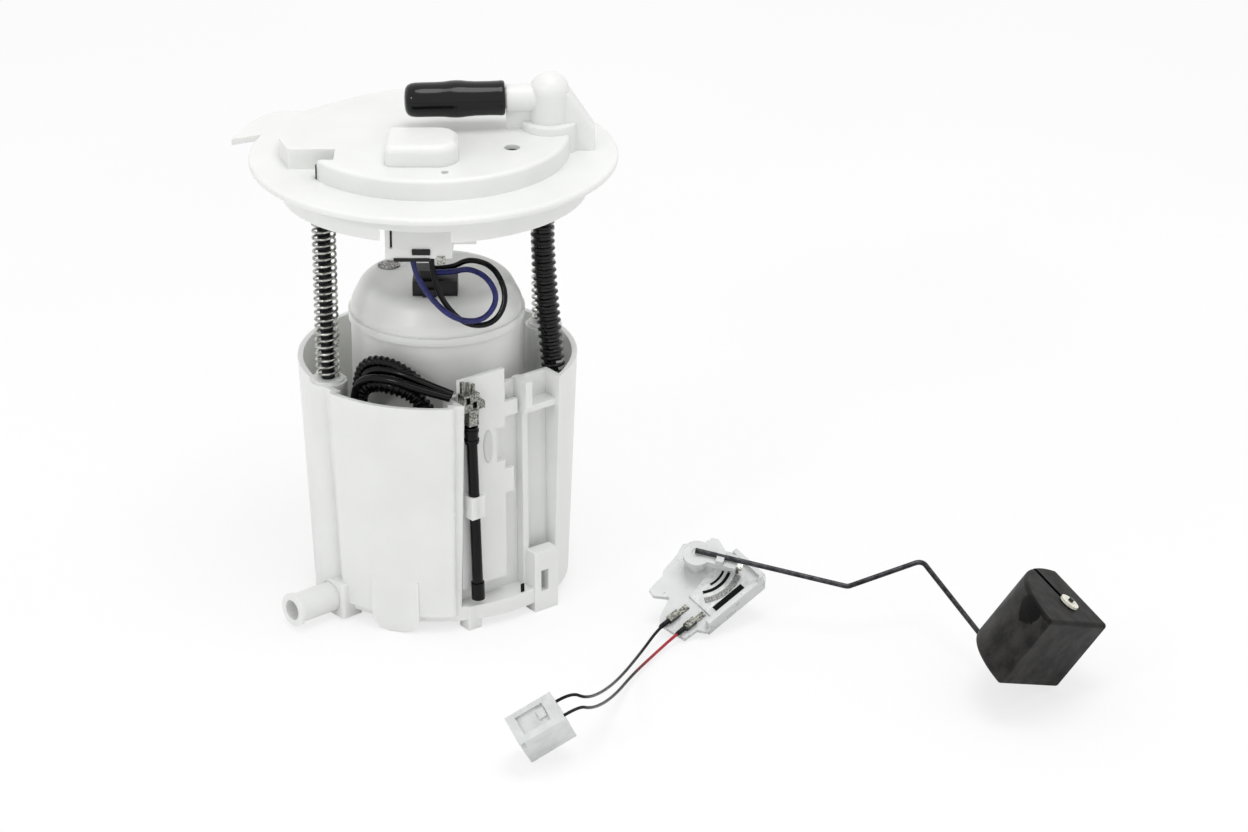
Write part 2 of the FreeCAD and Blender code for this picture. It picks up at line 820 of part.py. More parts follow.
def lead_plug():
    left, front = "-socket_left + socket_wall", "-socket_front + socket_wall"
    shell = box("lead_plug_shell", "socket_width - 2 * socket_wall - 2 * mating_gap",
                "socket_depth - 2 * socket_wall - 2 * mating_gap", "socket_plug_height",
                (f"{left} + mating_gap", f"{front} + mating_gap", "socket_bottom + lock_thickness"))
    slots = [box(f"lead_plug_slot_{i}", "terminal_thickness", "terminal_width",
                 "6 + lock_thickness", (x, f"-({TERMINAL_Y})", "socket_bottom + socket_plug_height - 5"))
             for i, x in enumerate(TERMINALS)]
    keep("lead_plug", cut("lead_plug", shell, *slots))
    strip = box("lock_strip", "socket_width - 2 * socket_wall - 3", "socket_depth - 2 * socket_wall - 2",
                "lock_thickness", (f"{left} + 1", f"{front} + 1", "socket_bottom"))
    keep("lock_strip", strip)


def pump_plug():
    base = box("plug_base", "plug_width", "plug_depth", "plug_height",
               ("-plug_left", "-plug_front", "can_top + mating_gap"))
    entry = box("plug_entry", "7", "plug_depth - 2", "3.6",
                ("-plug_left + 1", "-plug_front + 2", "can_top + mating_gap + plug_height"))
    latch = box("plug_latch", "5", "1.5", "3",
                ("-plug_left + 4", "-plug_front - 1.5", "can_top + mating_gap"))
    keep("pump_plug", fuse("pump_plug", base, entry, latch))


def filter_canister():
    inner = "can_radius - can_wall"
    well_inner = "shell_radius + mating_gap"
    housing = turned("canister_wall", [
        (well_inner, "can_bottom"), ("can_radius", "can_bottom"), ("can_radius", "can_split"),
        (inner, "can_split"), (inner, "can_bottom + can_wall"), ("well_radius", "can_bottom + can_wall"),
        ("well_radius", "shell_top"), (well_inner, "shell_top"),
    ])
    level = "hose_low_level - 8"
    arm = box("canister_arm", "hose_low_x - can_radius + 5", "9", "7",
              ("can_radius - 1.5", "-hose_low_y - 4.5", f"{level} - 1"))
    spigot = move(cylinder("canister_spigot", "hose_spigot", "hose_overlap + 6"),
                  Placement(hose_low - hose_line * 6, hose_turn))
    cup = cylinder("regulator_cup", "regulator_radius + mating_gap + cup_wall", "cup_height",
                   ("0", "regulator_y", "regulator_bottom - 2"))
    web = box("regulator_web", "8", "7", "cup_height", ("-4", "can_radius - 1", "regulator_bottom - 2"))
    well = cylinder("regulator_well", "regulator_radius + mating_gap", "cup_height",
                    ("0", "regulator_y", "regulator_bottom"))
    drain = cylinder("regulator_drain", "2", "6", ("0", "regulator_y", "regulator_bottom - 3"))
    bore = move(cylinder("spigot_bore", "hose_spigot_bore", "20"),
                Placement(hose_low - hose_line * 4, hose_turn))
    cross = cylinder("arm_bore", "hose_spigot_bore", "hose_low_x - can_radius + 5",
                     ("can_radius - can_wall - 2", "-hose_low_y", "hose_low_level - 5"),
                     along(Vector(1, 0, 0)))
    solid = fuse("canister_solid", housing, arm, spigot, cup, web)
    keep("filter_housing", cut("filter_housing", solid, well, drain, bore, cross))

    cover = turned("canister_cover", [
        ("can_radius", "can_split"), ("can_radius + seam_width", "can_split"),
        ("can_radius + seam_width", "can_split + seam_height / 2"),
        ("can_radius", "can_split + seam_height / 2"), ("can_radius", "can_shoulder"),
        ("can_top_radius", "can_top"), ("0", "can_top"), ("0", "can_top - can_wall"),
        ("can_top_radius - 2.5", "can_top - can_wall"),
        (inner, "can_shoulder - 1"), (inner, "can_split"),
    ])
    rounded(cover, "cover_shoulder", "can_round",
            lambda p, e: e.BoundBox.ZLength < 0.01 and near(p.z, value("can_shoulder"))
            and e.BoundBox.XLength > value("can_radius"))
    rounded(cover, "cover_brow", "can_round",
            lambda p, e: e.BoundBox.ZLength < 0.01 and near(p.z, value("can_top"))
            and e.BoundBox.XLength > value("can_top_radius"))
    keep("filter_cap", cover)
    keep("filter_seal", torus("filter_seal", f"{inner} - seal_radius - 0.05", "seal_radius",
                              ("0", "0", "can_split - 2")))


def filter_element():
    count = int(value("pleat_count"))
    height = value("element_top - element_bottom")
    outer, core = value("element_radius"), value("element_core")
    points = []
    for index in range(2 * count):
        radius = outer if index % 2 == 0 else core + 4
        angle = math.pi * index / count
        points.append(Vector(radius * math.cos(angle), radius * math.sin(angle), 0))
    points.append(points[0])
    star = Part.Face(Part.makePolygon(points)).extrude(Vector(0, 0, height))
    tube = star.cut(Part.makeCylinder(core, height))
    stand = Placement(Vector(0, 0, value("element_bottom")), Rotation())
    keep("filter_element", shaped("filter_element", tube, stand))


SHELL_INNER = "shell_radius - shell_wall"
COVER_TOP = "shell_bottom + shell_lip + inlet_cover_height"
CHAMBER_TOP = f"{COVER_TOP} + impeller_height + 2 * impeller_side_gap"
PLATE_TOP = f"{CHAMBER_TOP} + channel_plate_height"


def pump_cartridge():
    shell = turned("pump_shell", [
        ("shell_radius - 3", "shell_bottom"), ("shell_radius", "shell_bottom"),
        ("shell_radius", "shell_top"), ("shell_radius - 3", "shell_top"),
        ("shell_radius - 3", "shell_top - shell_lip"), (SHELL_INNER, "shell_top - shell_lip"),
        (SHELL_INNER, "shell_bottom + shell_lip"), ("shell_radius - 3", "shell_bottom + shell_lip"),
    ])
    keep("pump_shell", shell)

    cover = cylinder("inlet_disc", f"{SHELL_INNER} - mating_gap", "inlet_cover_height",
                     ("0", "0", "shell_bottom + shell_lip"))
    nipple = cylinder("inlet_nipple", "inlet_spigot", "inlet_spigot_length",
                      ("9", "0", "shell_bottom + shell_lip - inlet_spigot_length"))
    port = cylinder("inlet_port", "inlet_spigot - 2", "20", ("9", "0", "shell_bottom - 5"))
    race = cylinder("inlet_race", "bush_radius", "bush_height", ("0", "0", f"{COVER_TOP} - bush_height"))
    keep("pump_inlet_cover", cut("pump_inlet_cover", fuse("inlet_solid", cover, nipple), port, race))

    plate = turned("pump_channel_plate", [
        ("bush_radius", CHAMBER_TOP), ("impeller_radius + 0.4", CHAMBER_TOP),
        ("impeller_radius + 0.4", COVER_TOP), (f"{SHELL_INNER} - mating_gap", COVER_TOP),
        (f"{SHELL_INNER} - mating_gap", PLATE_TOP), ("bush_radius", PLATE_TOP),
    ])
    outlet = cylinder("channel_outlet", "2.5", "20", ("-12", "0", f"{COVER_TOP} + 1"))
    keep("pump_channel_plate", cut("channel_plate", plate, outlet))

    low_bush = ring("low_bush", "bush_radius", "shaft_radius + running_gap", "bush_height",
                    ("0", "0", f"{COVER_TOP} - bush_height"))
    mid_bush = ring("mid_bush", "bush_radius", "shaft_radius + running_gap", "bush_height",
                    ("0", "0", CHAMBER_TOP))
    top_bush = ring("top_bush", "bush_radius", "shaft_radius + running_gap", "bush_height",
                    ("0", "0", "shaft_top - bush_height - 0.5"))
    keep("shaft_bushes", compound("shaft_bushes", [low_bush, mid_bush, top_bush]))

    hub = cylinder("impeller_hub", "impeller_radius - blade_depth", "impeller_height",
                   ("0", "0", f"{COVER_TOP} + impeller_side_gap"))
    blade = box("impeller_blade", "impeller_radius", "blade_thickness", "impeller_height",
                ("0", "-blade_thickness / 2", f"{COVER_TOP} + impeller_side_gap"))
    doc.recompute()
    blades = [shaped(f"impeller_blade_{i}", blade.Shape.copy(),
                     spun(360 * i / value("blade_count"), blade.Placement.Base))
              for i in range(int(value("blade_count")))]
    bore = cylinder("impeller_bore", "shaft_radius", "impeller_height + 2", ("0", "0", f"{COVER_TOP} - 1"))
    keep("impeller", cut("impeller", fuse("impeller_solid", hub, *blades), bore))

    core = cylinder("armature_core", f"{SHELL_INNER} - magnet_wall - air_gap",
                    "armature_top - armature_bottom", ("0", "0", "armature_bottom"))
    shaft_low = f"{COVER_TOP} - bush_height + mating_gap"
    shaft = cylinder("armature_shaft", "shaft_radius", f"shaft_top - ({shaft_low})", ("0", "0", shaft_low))
    drum = cylinder("commutator", "commutator_radius", "commutator_top - commutator_bottom",
                    ("0", "0", "commutator_bottom"))
    neck = cylinder("armature_neck", "commutator_radius - 2", "commutator_bottom - armature_top + 1",
                    ("0", "0", "armature_top - 0.5"))
    slots = []
    for i in range(int(value("armature_slots"))):
        angle = 360 * i / value("armature_slots")
        slot = box(f"armature_slot_{i}", "slot_depth + 1", "slot_width", "armature_top - armature_bottom")
        reach = value(f"{SHELL_INNER} - magnet_wall - air_gap - slot_depth")
        start = Vector(reach, -value("slot_width") / 2, value("armature_bottom"))
        move(slot, spun(angle, start))
        slots.append(slot)
    keep("armature", cut("armature", fuse("armature_solid", core, shaft, drum, neck), *slots))

    sleeve = ring("magnet_sleeve", f"{SHELL_INNER} - mating_gap / 2", f"{SHELL_INNER} - magnet_wall",
                  "magnet_top - magnet_bottom", ("0", "0", "magnet_bottom"))
    split = box("magnet_split", "2 * shell_radius", "7", "magnet_top - magnet_bottom",
                ("-shell_radius", "-3.5", "magnet_bottom"))
    keep("motor_magnets", cut("motor_magnets", sleeve, split))

    level = "(commutator_bottom + commutator_top - brush_height) / 2"
    brushes = []
    for name, start in (("front", "-commutator_radius - moving_gap - brush_length"),
                        ("rear", "commutator_radius + moving_gap")):
        brushes.append(box(f"brush_{name}", "brush_width", "brush_length", "brush_height",
                           ("-brush_width / 2", start, level)))
    keep("carbon_brushes", compound("carbon_brushes", brushes))

    cap_outer = f"{SHELL_INNER} - mating_gap"
    body = turned("end_cap_body", [
        ("0", "end_cap_bottom"), (cap_outer, "end_cap_bottom"), (cap_outer, "shell_top - shell_lip"),
        ("shell_radius - 3 - mating_gap", "shell_top - shell_lip"),
        ("shell_radius - 3 - mating_gap", "shell_top + 1"), ("0", "shell_top + 1"),
    ])
    outlet_x = "9"
    post = cylinder("end_cap_post", "end_cap_spigot", "end_cap_rise", (outlet_x, "0", "shell_top"))
    skirt = ring("brush_skirt", cap_outer, f"{cap_outer} - 1.5", "end_cap_bottom - commutator_bottom - 0.5",
                 ("0", "0", "commutator_bottom + 0.5"))
    guides = box("brush_guides", "brush_width + 3", f"2 * ({cap_outer}) - 1", "brush_height + 1",
                 ("-brush_width / 2 - 1.5", f"-({cap_outer}) + 0.5", f"{level} - 0.5"))
    guide_gap = cylinder("brush_clearance", "commutator_radius + 1.2",
                         "commutator_top - commutator_bottom + 2", ("0", "0", "commutator_bottom - 1"))
    run = box("brush_run", "brush_width + 2 * mating_gap", "2 * shell_radius",
              "brush_height + 2 * mating_gap",
              ("-brush_width / 2 - mating_gap", "-shell_radius", f"{level} - mating_gap"))
    guide = cut("brush_guide", guides, guide_gap)
    run_limit = cylinder("brush_run_limit", "commutator_radius + moving_gap + brush_length + 0.4",
                         "20", ("0", "0", "commutator_bottom - 5"))
    body_run = common("brush_run_inner", run, run_limit)
    seat = cylinder("top_bush_seat", "bush_radius", "bush_height",
                    ("0", "0", "shaft_top - bush_height - 0.5"))
    shaft_room = cylinder("shaft_room", "shaft_radius + 0.6", "shaft_top - end_cap_bottom + 1.5",
                          ("0", "0", "end_cap_bottom - 1"))
    flow = cylinder("outlet_flow", "valve_radius - 1", "40", (outlet_x, "0", "end_cap_bottom - 1"))
    chamber = cylinder("valve_chamber", "valve_radius + moving_gap", "end_cap_rise",
                       (outlet_x, "0", "shell_top + 2"))
    solid = fuse("end_cap_solid", body, post, skirt, guide)
    keep("pump_end_cap", cut("pump_end_cap", solid, body_run, seat, shaft_room, flow, chamber))

    stem = turned("check_valve_body", [
        ("0", "0"), ("valve_radius", "0"), ("valve_radius", "valve_length - 1"),
        ("valve_radius - 1.2", "valve_length"), ("0", "valve_length"),
    ])
    place(stem, (outlet_x, "0", "shell_top + 2 + 0.05"))
    keep("check_valve", stem)
    low = value("shell_top + 2 + 0.05 + valve_length + 0.1")
    top = value("shell_top + end_cap_rise - 1")
    wire = value("valve_spring_wire")
    coil_spring("check_spring", Vector(value(outlet_x), 0, low), top,
                value("valve_radius") - wire / 2 - 0.4, 1.5, wire)
    stop = ring("valve_stop", "valve_radius + moving_gap", "valve_radius - 1", "1",
                (outlet_x, "0", "shell_top + end_cap_rise - 0.9"))
    keep("valve_stop", stop)


def pressure_regulator():
    lower = turned("regulator_can", [
        ("2", "0"), ("regulator_radius", "0"), ("regulator_radius", "regulator_height"),
        ("2.5", "regulator_height"), ("2.5", "regulator_height - regulator_wall"),
        ("regulator_radius - regulator_wall", "regulator_height - regulator_wall"),
        ("regulator_radius - regulator_wall", "3"), ("2", "3"),
    ])
    place(lower, ("0", "regulator_y", "regulator_bottom + 0.05"))
    keep("regulator_can", lower)
    disc = cylinder("plunger_disc", "regulator_radius - regulator_wall - moving_gap", "1.5",
                    ("0", "regulator_y", "regulator_bottom + 3.1"))
    stem = cylinder("plunger_stem", "plunger_radius", "4", ("0", "regulator_y", "regulator_bottom + 4.5"))
    keep("regulator_plunger", fuse("regulator_plunger", disc, stem))
    low = value("regulator_bottom + 4.6 + mating_gap")
    top = value("regulator_bottom + regulator_height - regulator_wall - mating_gap")
    coil_spring("regulator_spring", Vector(0, value("regulator_y"), low), top, 4.2, 2.6, 0.9)


BUCKET_HEIGHT = "bucket_top - bucket_bottom"


def bay_box(name, low, high):
    """A box between two corners of the bay's frame: outwards, along, up."""
    points = [(low[0], low[1]), (high[0], low[1]), (high[0], high[1]), (low[0], high[1])]
    return padded(name, points, f"({high[2]}) - ({low[2]})", ("0", "0", low[2]),
                  Rotation(Vector(0, 0, 1), -value("bay_angle")))


def on_jet(item, start):
    """Lays an object on the jet pump's line at a reach from the axis."""
    axis = Rotation(Vector(0, 0, 1), value("jet_turn")).multVec(Vector(1, 0, 0))
    return move(item, Placement(axis * value(start) + Vector(0, 0, value("jet_level")), along(axis)))


def reservoir_bucket():
    outer = cone("bucket_outer", "bucket_low_radius", "bucket_top_radius", BUCKET_HEIGHT,
                 ("0", "0", "bucket_bottom"))
    inner = cone("bucket_inner", "bucket_low_radius - bucket_wall", "bucket_top_radius - bucket_wall",
                 BUCKET_HEIGHT, ("0", "0", "bucket_bottom + bucket_floor"))
    shell = cut("bucket_shell", outer, inner)
    pad = cylinder("base_pad", "base_pad_radius", "bucket_bottom + 1")
    ring_wall = ring("seat_ring", "seat_ring_radius", "seat_ring_inner", "can_bottom + 3 - bucket_bottom",
                     ("0", "0", "bucket_bottom"))
    step = cylinder("seat_step", "can_radius + mating_gap", "10", ("0", "0", "can_bottom"))
    floor_top = value("bucket_bottom + bucket_floor")
    arches = [move(box(f"seat_arch_{angle}", "seat_arch_width", "80", "seat_arch_height"),
                   spun(angle, Vector(-value("seat_arch_width") / 2, -40, floor_top)))
              for angle in (45, 135)]
    seat = cut("canister_seat", ring_wall, step, *arches)

    channels, grooves, plates, rod_ways = [], [], [], []
    for side, sign in SIDES.items():
        x, y = at_strut(sign)
        channels.append(cylinder(f"channel_{side}", "groove_radius + groove_wall", BUCKET_HEIGHT,
                                 (x, y, "bucket_bottom")))
        grooves.append(cylinder(f"groove_{side}", "groove_radius", "bucket_top + 2", (x, y, "-1")))
        plates.append(cylinder(f"spring_seat_{side}", "groove_radius + 0.5", "spring_seat_thickness",
                               (x, y, "bucket_top + 1 - spring_seat_thickness")))
        plates.append(cylinder(f"rod_bridge_{side}", "groove_radius + 0.5", "bridge_thickness",
                               (x, y, "bridge_level - bridge_thickness")))
        rod_ways.append(cylinder(f"rod_way_{side}", "rod_radius + running_gap", "bucket_top + 6",
                                 (x, y, "-1")))

    tongue = padded("front_tongue", [
        ("-tongue_width / 2", "5"), ("-tongue_width / 2 + 3", "1"), ("-tongue_width / 2 + 7", "0"),
        ("tongue_width / 2 - 7", "0"), ("tongue_width / 2 - 3", "1"), ("tongue_width / 2", "5"),
        ("tongue_width / 2", "tongue_top"), ("-tongue_width / 2", "tongue_top"),
    ], "tongue_thickness", ("0", "0", "0"), role="XZ_Plane")
    move(tongue, Placement(Vector(-value("tongue_x"), -value("tongue_y"), 0),
                           Rotation(Vector(0, 0, 1), -value("tongue_turn"))))
    panel_low = "bucket_low_radius + panel_rise"
    panel_top = "bucket_top_radius + panel_rise"
    panel = turned("front_panel", [
        ("bucket_low_radius - 1", "panel_bottom"), (panel_low, "panel_bottom"),
        (panel_top, "bucket_top"), ("bucket_top_radius - 1", "bucket_top"),
    ], "panel_sweep")
    rounded(panel, "panel_edges", "panel_round",
            lambda p, e: e.BoundBox.ZLength > 50 and math.hypot(p.x, p.y) > value("bucket_low_radius + 3"))
    place(panel, turn=Rotation(Vector(0, 0, 1), value("panel_start")))
    pocket = turned("panel_pocket", [
        ("bucket_low_radius - bucket_wall - 1", "bucket_bottom + bucket_floor + 4"),
        (f"{panel_low} - bucket_wall", "bucket_bottom + bucket_floor + 4"),
        (f"{panel_top} - bucket_wall", "bucket_top + 0.1"),
        ("bucket_top_radius - bucket_wall - 1", "bucket_top + 0.1"),
    ], "panel_sweep - 2 * panel_inset")
    place(pocket, turn=Rotation(Vector(0, 0, 1), value("panel_start + panel_inset")))
    feet = [cylinder(f"rear_foot_{name}", "rear_foot_radius", "bucket_bottom + 1",
                     (f"{sign} * rear_foot_x", "rear_foot_y", "0")) for name, sign in SIDES.items()]
    hook = bay_box("front_hook", ("bay_floor_reach + hook_reach", "-bay_left + hook_side", "0"),
                   ("bay_floor_reach + hook_reach + hook_size", "-bay_left + hook_side + hook_size",
                    "bay_bottom"))
    foot = "bay_floor_reach + clip_foot_reach"
    clip_foot = bay_box("clip_foot", (foot, "clip_foot_side", "0"),
                        (f"{foot} + clip_foot_depth", "clip_foot_side + clip_foot_width",
                         "clip_foot_height"))
    clip_slot = bay_box("clip_foot_slot", (f"{foot} - 2", "clip_slot_side", "clip_slot_level"),
                        (f"{foot} + clip_foot_depth + 2", "clip_slot_side + clip_slot_width",
                         "clip_slot_level + clip_slot_height"))

    bay_cut = bay_box("bay_cut", ("bay_floor_reach + bay_wall", "-bay_left", "bay_bottom"),
                      ("bay_beyond", "bay_right", "bucket_top + 20"))
    bay_solid = bay_box("bay_solid", ("bay_floor_reach", "-bay_left - bay_wall", "bay_bottom - bay_wall"),
                        ("bay_beyond", "bay_right + bay_wall", "bucket_top"))
    bay_limit = cone("bay_limit", "bucket_low_radius", "bucket_top_radius", BUCKET_HEIGHT,
                     ("0", "0", "bucket_bottom"))
    bay_walls = common("bay_walls", bay_solid, bay_limit)
    on_floor = "bay_floor_reach + 1"
    rail = bay_box("bay_rail", (on_floor, "rail_side", "bay_bottom"),
                   (f"{on_floor} + rail_depth", "rail_side + rail_width", "rail_top"))
    shelf = bay_box("bay_shelf", (on_floor, "shelf_side", "rail_top"),
                    (f"{on_floor} + shelf_depth", "bay_right + 1", "rail_top + shelf_thickness"))
    lug = bay_box("bay_lug", (on_floor, "shelf_side", "rail_top + 2"),
                  (f"{on_floor} + lug_depth", "shelf_side + lug_width", "bucket_top + 1"))

    collar = on_jet(cylinder("jet_collar", "jet_collar_radius", "jet_collar_end - jet_collar_start"),
                    "jet_collar_start")
    block = padded("jet_block", [
        ("jet_block_start", "-jet_block_width / 2"), ("jet_block_end", "-jet_block_width / 2"),
        ("jet_block_end", "jet_block_width / 2"), ("jet_block_start", "jet_block_width / 2"),
    ], "jet_block_height")
    rounded(block, "jet_block_edges", "jet_block_round",
            lambda p, e: near(e.BoundBox.ZLength, value("jet_block_height"))
            and near(p.x, value("jet_block_end")))
    place(block, ("0", "0", "1"), Rotation(Vector(0, 0, 1), value("jet_turn")))
    jet_way = on_jet(cylinder("jet_way", "jet_radius + mating_gap / 2", "jet_end"), "jet_start - 0.2")

    vx, vy = "-inlet_valve_x", "inlet_valve_y"
    stem_way = cylinder("valve_stem_way", "umbrella_stem + running_gap", "20", (vx, vy, "-1"))
    ports = []
    for angle in (45, 135, 225, 315):
        x, y = at_angle("valve_port_ring", angle)
        ports.append(cylinder(f"valve_port_{angle}", "valve_port", "20",
                              (f"{vx} + {x}", f"{vy} + {y}", "-1")))
    solid = fuse("bucket_solid", shell, pad, seat, *channels, tongue, *feet, collar, block, panel)
    opened = cut("bucket_opened", solid, *grooves, bay_cut, pocket)
    whole = fuse("bucket_whole", opened, cut("bay_shell", bay_walls, bay_cut), rail, shelf, lug, hook,
                 clip_foot, *plates)
    keep("reservoir_bucket", cut("reservoir_bucket", whole, *rod_ways, jet_way, stem_way, clip_slot, *ports))


def sender_bracket():
    back = "bracket_reach - bracket_thickness"
    plate = bay_box("bracket_plate", (back, "-bracket_left", "bracket_bottom"),
                    ("bracket_reach", "-bracket_right", "bracket_top"))
    window = bay_box("bracket_window", (f"{back} - 1", "-bracket_right - 4", "bracket_window_level"),
                     ("bracket_reach + 1", "-bracket_right + 1", "bracket_window_level + bracket_window"))
    rib_foot = "bay_floor_reach + bay_wall + mating_gap"
    ribs = [bay_box(f"bracket_rib_{name}", (rib_foot, at, "bracket_bottom + mating_gap"),
                    (f"{back} + 0.5", f"{at} + bracket_rib", "bracket_top - 14"))
            for name, at in (("left", "-bracket_left"), ("right", "-bracket_right - bracket_rib - 1"))]
    tabs = [bay_box(f"bracket_{tab}", (back, "-bracket_right - 1", f"{tab}_level"),
                    ("bracket_reach", f"-bracket_right + {tab}_reach", f"{tab}_level + {tab}_height"))
            for tab in ("low_tab", "high_tab")]
    holder_left = "-bracket_left + holder_side"
    holder = bay_box("sheath_holder", ("bracket_reach - 0.5", holder_left, "holder_level"),
                     ("bracket_reach + holder_reach", f"{holder_left} + holder_width",
                      "holder_level + holder_height"))
    slot = move(cylinder("sheath_way", "sheath_radius + mating_gap", "200"), sheath_placement(-40))
    solid = fuse("bracket_solid", plate, holder, *ribs, *tabs)
    keep("sender_bracket", cut("sender_bracket", solid, window, slot))


def in_bay(out, side, level):
    turn = Rotation(Vector(0, 0, 1), -value("bay_angle"))
    return turn.multVec(Vector(out, side, level))


def sheath_placement(extra=0.0):
    """The line of the temperature sensor, from its lower end up."""
    reach = value("bracket_reach + collar_radius + sheath_ring + running_gap")
    low = in_bay(reach, value("-bracket_left + sensor_foot_side"), value("sheath_bottom"))
    top = in_bay(reach, value("-bracket_left + sensor_head_side"), value("sheath_top"))
    line = (top - low).normalize()
    return Placement(low + line * extra, along(line))


def temperature_sensor():
    length = "sheath_top - sheath_bottom"
    sheath = cylinder("sheath", "sheath_radius", length)
    low = cylinder("sheath_end", "collar_radius", "collar_height")
    high = cylinder("sheath_collar", "collar_radius", "collar_height",
                    ("0", "0", f"{length} - collar_height"))
    rings = [cylinder(f"sheath_ring_{name}", "collar_radius + sheath_ring", "1.1",
                      ("0", "0", f"{length} - {drop}"))
             for name, drop in (("low", "6.2"), ("high", "2.2"))]
    sensor = fuse("temperature_sensor", sheath, low, high, *rings)
    keep("temperature_sensor", sensor, sheath_placement())


def sensor_terminal():
    """A crimp, its body with two windows, a stud beside it and three prongs above."""
    on_plate = "bracket_reach + mating_gap"
    crimp_left = "-bracket_left + crimp_side"
    left = "-bracket_left + terminal_side"
    right = f"{left} + terminal_body_width"
    top = "terminal_body_level + terminal_body_height"
    crimp = bay_box("terminal_crimp", (on_plate, crimp_left, "sheath_top + 0.8"),
                    ("bracket_reach + crimp_reach", f"{crimp_left} + crimp_width",
                     "terminal_body_level + 0.5"))
    clip = bay_box("terminal_body", (on_plate, left, "terminal_body_level"),
                   ("bracket_reach + terminal_body_reach", right, top))
    stud = bay_box("terminal_stud", (on_plate, f"{right} - 0.1", "terminal_body_level - 0.5"),
                   ("bracket_reach + 3", f"{right} + 3.4", "terminal_body_level + 2.5"))
    prongs = [bay_box(f"terminal_prong_{name}", ("bracket_reach + 1", f"{left} + {side}", f"{top} - 0.5"),
                      ("bracket_reach + 1 + prong_width", f"{left} + {side} + prong_width",
                       f"{top} + {rise}"))
              for name, side, rise in (("left", "0.4", "5"), ("middle", "2.9", "4.1"),
                                       ("right", "5.3", "2.9"))]
    windows = [bay_box(f"terminal_window_{name}",
                       ("bracket_reach + 2.4", f"{left} + {side}", f"terminal_body_level + {low}"),
                       ("bracket_reach + 6", f"{left} + {side} + window_width",
                        f"terminal_body_level + {low} + window_height"))
               for name, side, low in (("high", "1", "3.4"), ("low", "4", "1.1"))]
    solid = fuse("terminal_solid", crimp, clip, stud, *prongs)
    keep("sensor_terminal", cut("sensor_terminal", solid, *windows))


def arc_route(points):
    """Straight runs joined by the largest even tangent arcs."""
    points = [Vector(*p) for p in points]
    edges, radii, start = [], [], points[0]
    for index in range(1, len(points) - 1):
        corner = points[index]
        back, on = points[index - 1] - corner, points[index + 1] - corner
        reach = 0.45 * min(back.Length, on.Length)
        half_turn = (math.pi - back.getAngle(on)) / 2
        radii.append(reach / math.tan(half_turn))
        enter = corner + back.normalize() * reach
        leave = corner + on.normalize() * reach
        middle_way = (back + on).normalize()
        middle = corner + middle_way * (radii[-1] / math.cos(half_turn) - radii[-1])
        edges.append(Part.LineSegment(start, enter).toShape())
        edges.append(Part.Arc(enter, middle, leave).toShape())
        start = leave
    edges.append(Part.LineSegment(start, points[-1]).toShape())
    return Part.Wire(edges), radii


def tube(node, points, radius):
    """A plain tube of a cord along its route."""
    path, radii = arc_route(points)
    first = path.Edges[0]
    direction = first.tangentAt(first.FirstParameter)
    section = Part.Wire(Part.makeCircle(radius, Vector(*points[0]), direction))
    solid = path.makePipeShell([section], True, False)
    ideal = math.pi * radius ** 2 * path.Length
    print(f"{node}: length {path.Length:.1f}, volume {solid.Volume / ideal:.4f} of section times length")
    print("  radii " + " ".join(f"{radius:.1f}" for radius in radii))
    keep(node, shaped(node, solid))


BLACK_LEAD = [
    (-0.3, -30, 150), (-0.3, -30, 141.5), (3.5, -34, 131), (12.5, -37, 122), (23.5, -36.5, 122.5),
    (28.5, -33, 132), (23.5, -25.5, 141.5), (13.5, -17, 141.5), (6.5, -13.4, 135.9), (0, -13.4, 135.9),
]
BLUE_LEAD = [
    (-7.4, -30, 150), (-7.4, -30, 142.5), (-0.5, -36, 132.5), (9, -40, 125.5), (19.5, -39.5, 125),
    (25, -35, 132), (21, -29, 138.5), (13.5, -22, 139.5), (6.5, -17.6, 135.9), (0, -17.6, 135.9),
]
BLACK_SENDER_LEAD = [
    (89, -55, 6.8), (85.2, -57.9, 4.9), (79.34, -72.02, 3.2), (71, -102.23, 7.5),
    (64.43, -130.21, 16), (58.41, -151.81, 24.8), (53.17, -152.49, 27.62), (47.58, -153.99, 24.66),
]
RED_SENDER_LEAD = [
    (95.2, -57.6, 5), (91.2, -60.8, 3.1), (86.2, -67.5, 1.6), (75.51, -90.1, 2.4),
    (69.53, -114.39, 7.2), (64.45, -135.78, 14), (59.83, -151.41, 20.5), (56.08, -156.89, 24.36),
    (50.49, -158.4, 21.4),
]
LOOM = [
    (-29, -32, 78), (-29.5, -32.5, 91), (-24.5, -37, 100), (-13, -42.2, 101.5), (-2, -45.5, 100.5),
    (7.6, -47.6, 99.5),
]


def sender_frame():
    tilt = Rotation(Vector(1, 0, 0), value("sender_tilt"))
    turn = Rotation(Vector(0, 0, 1), value("sender_turn"))
    stand = Vector(value("sender_x"), -value("sender_y"), value("sender_level"))
    return Placement(stand, tilt.multiply(turn))


def float_frame():
    """The float's lowest corner: X along its short side, Z to its near end."""
    outward = Vector(0.577, 0.015, 0.817).normalize()
    short = Vector(-0.594, 0.694, 0.408)
    turn = Rotation(short, outward.cross(short), outward, "ZXY")
    return Placement(FLOAT_CORNER, turn)


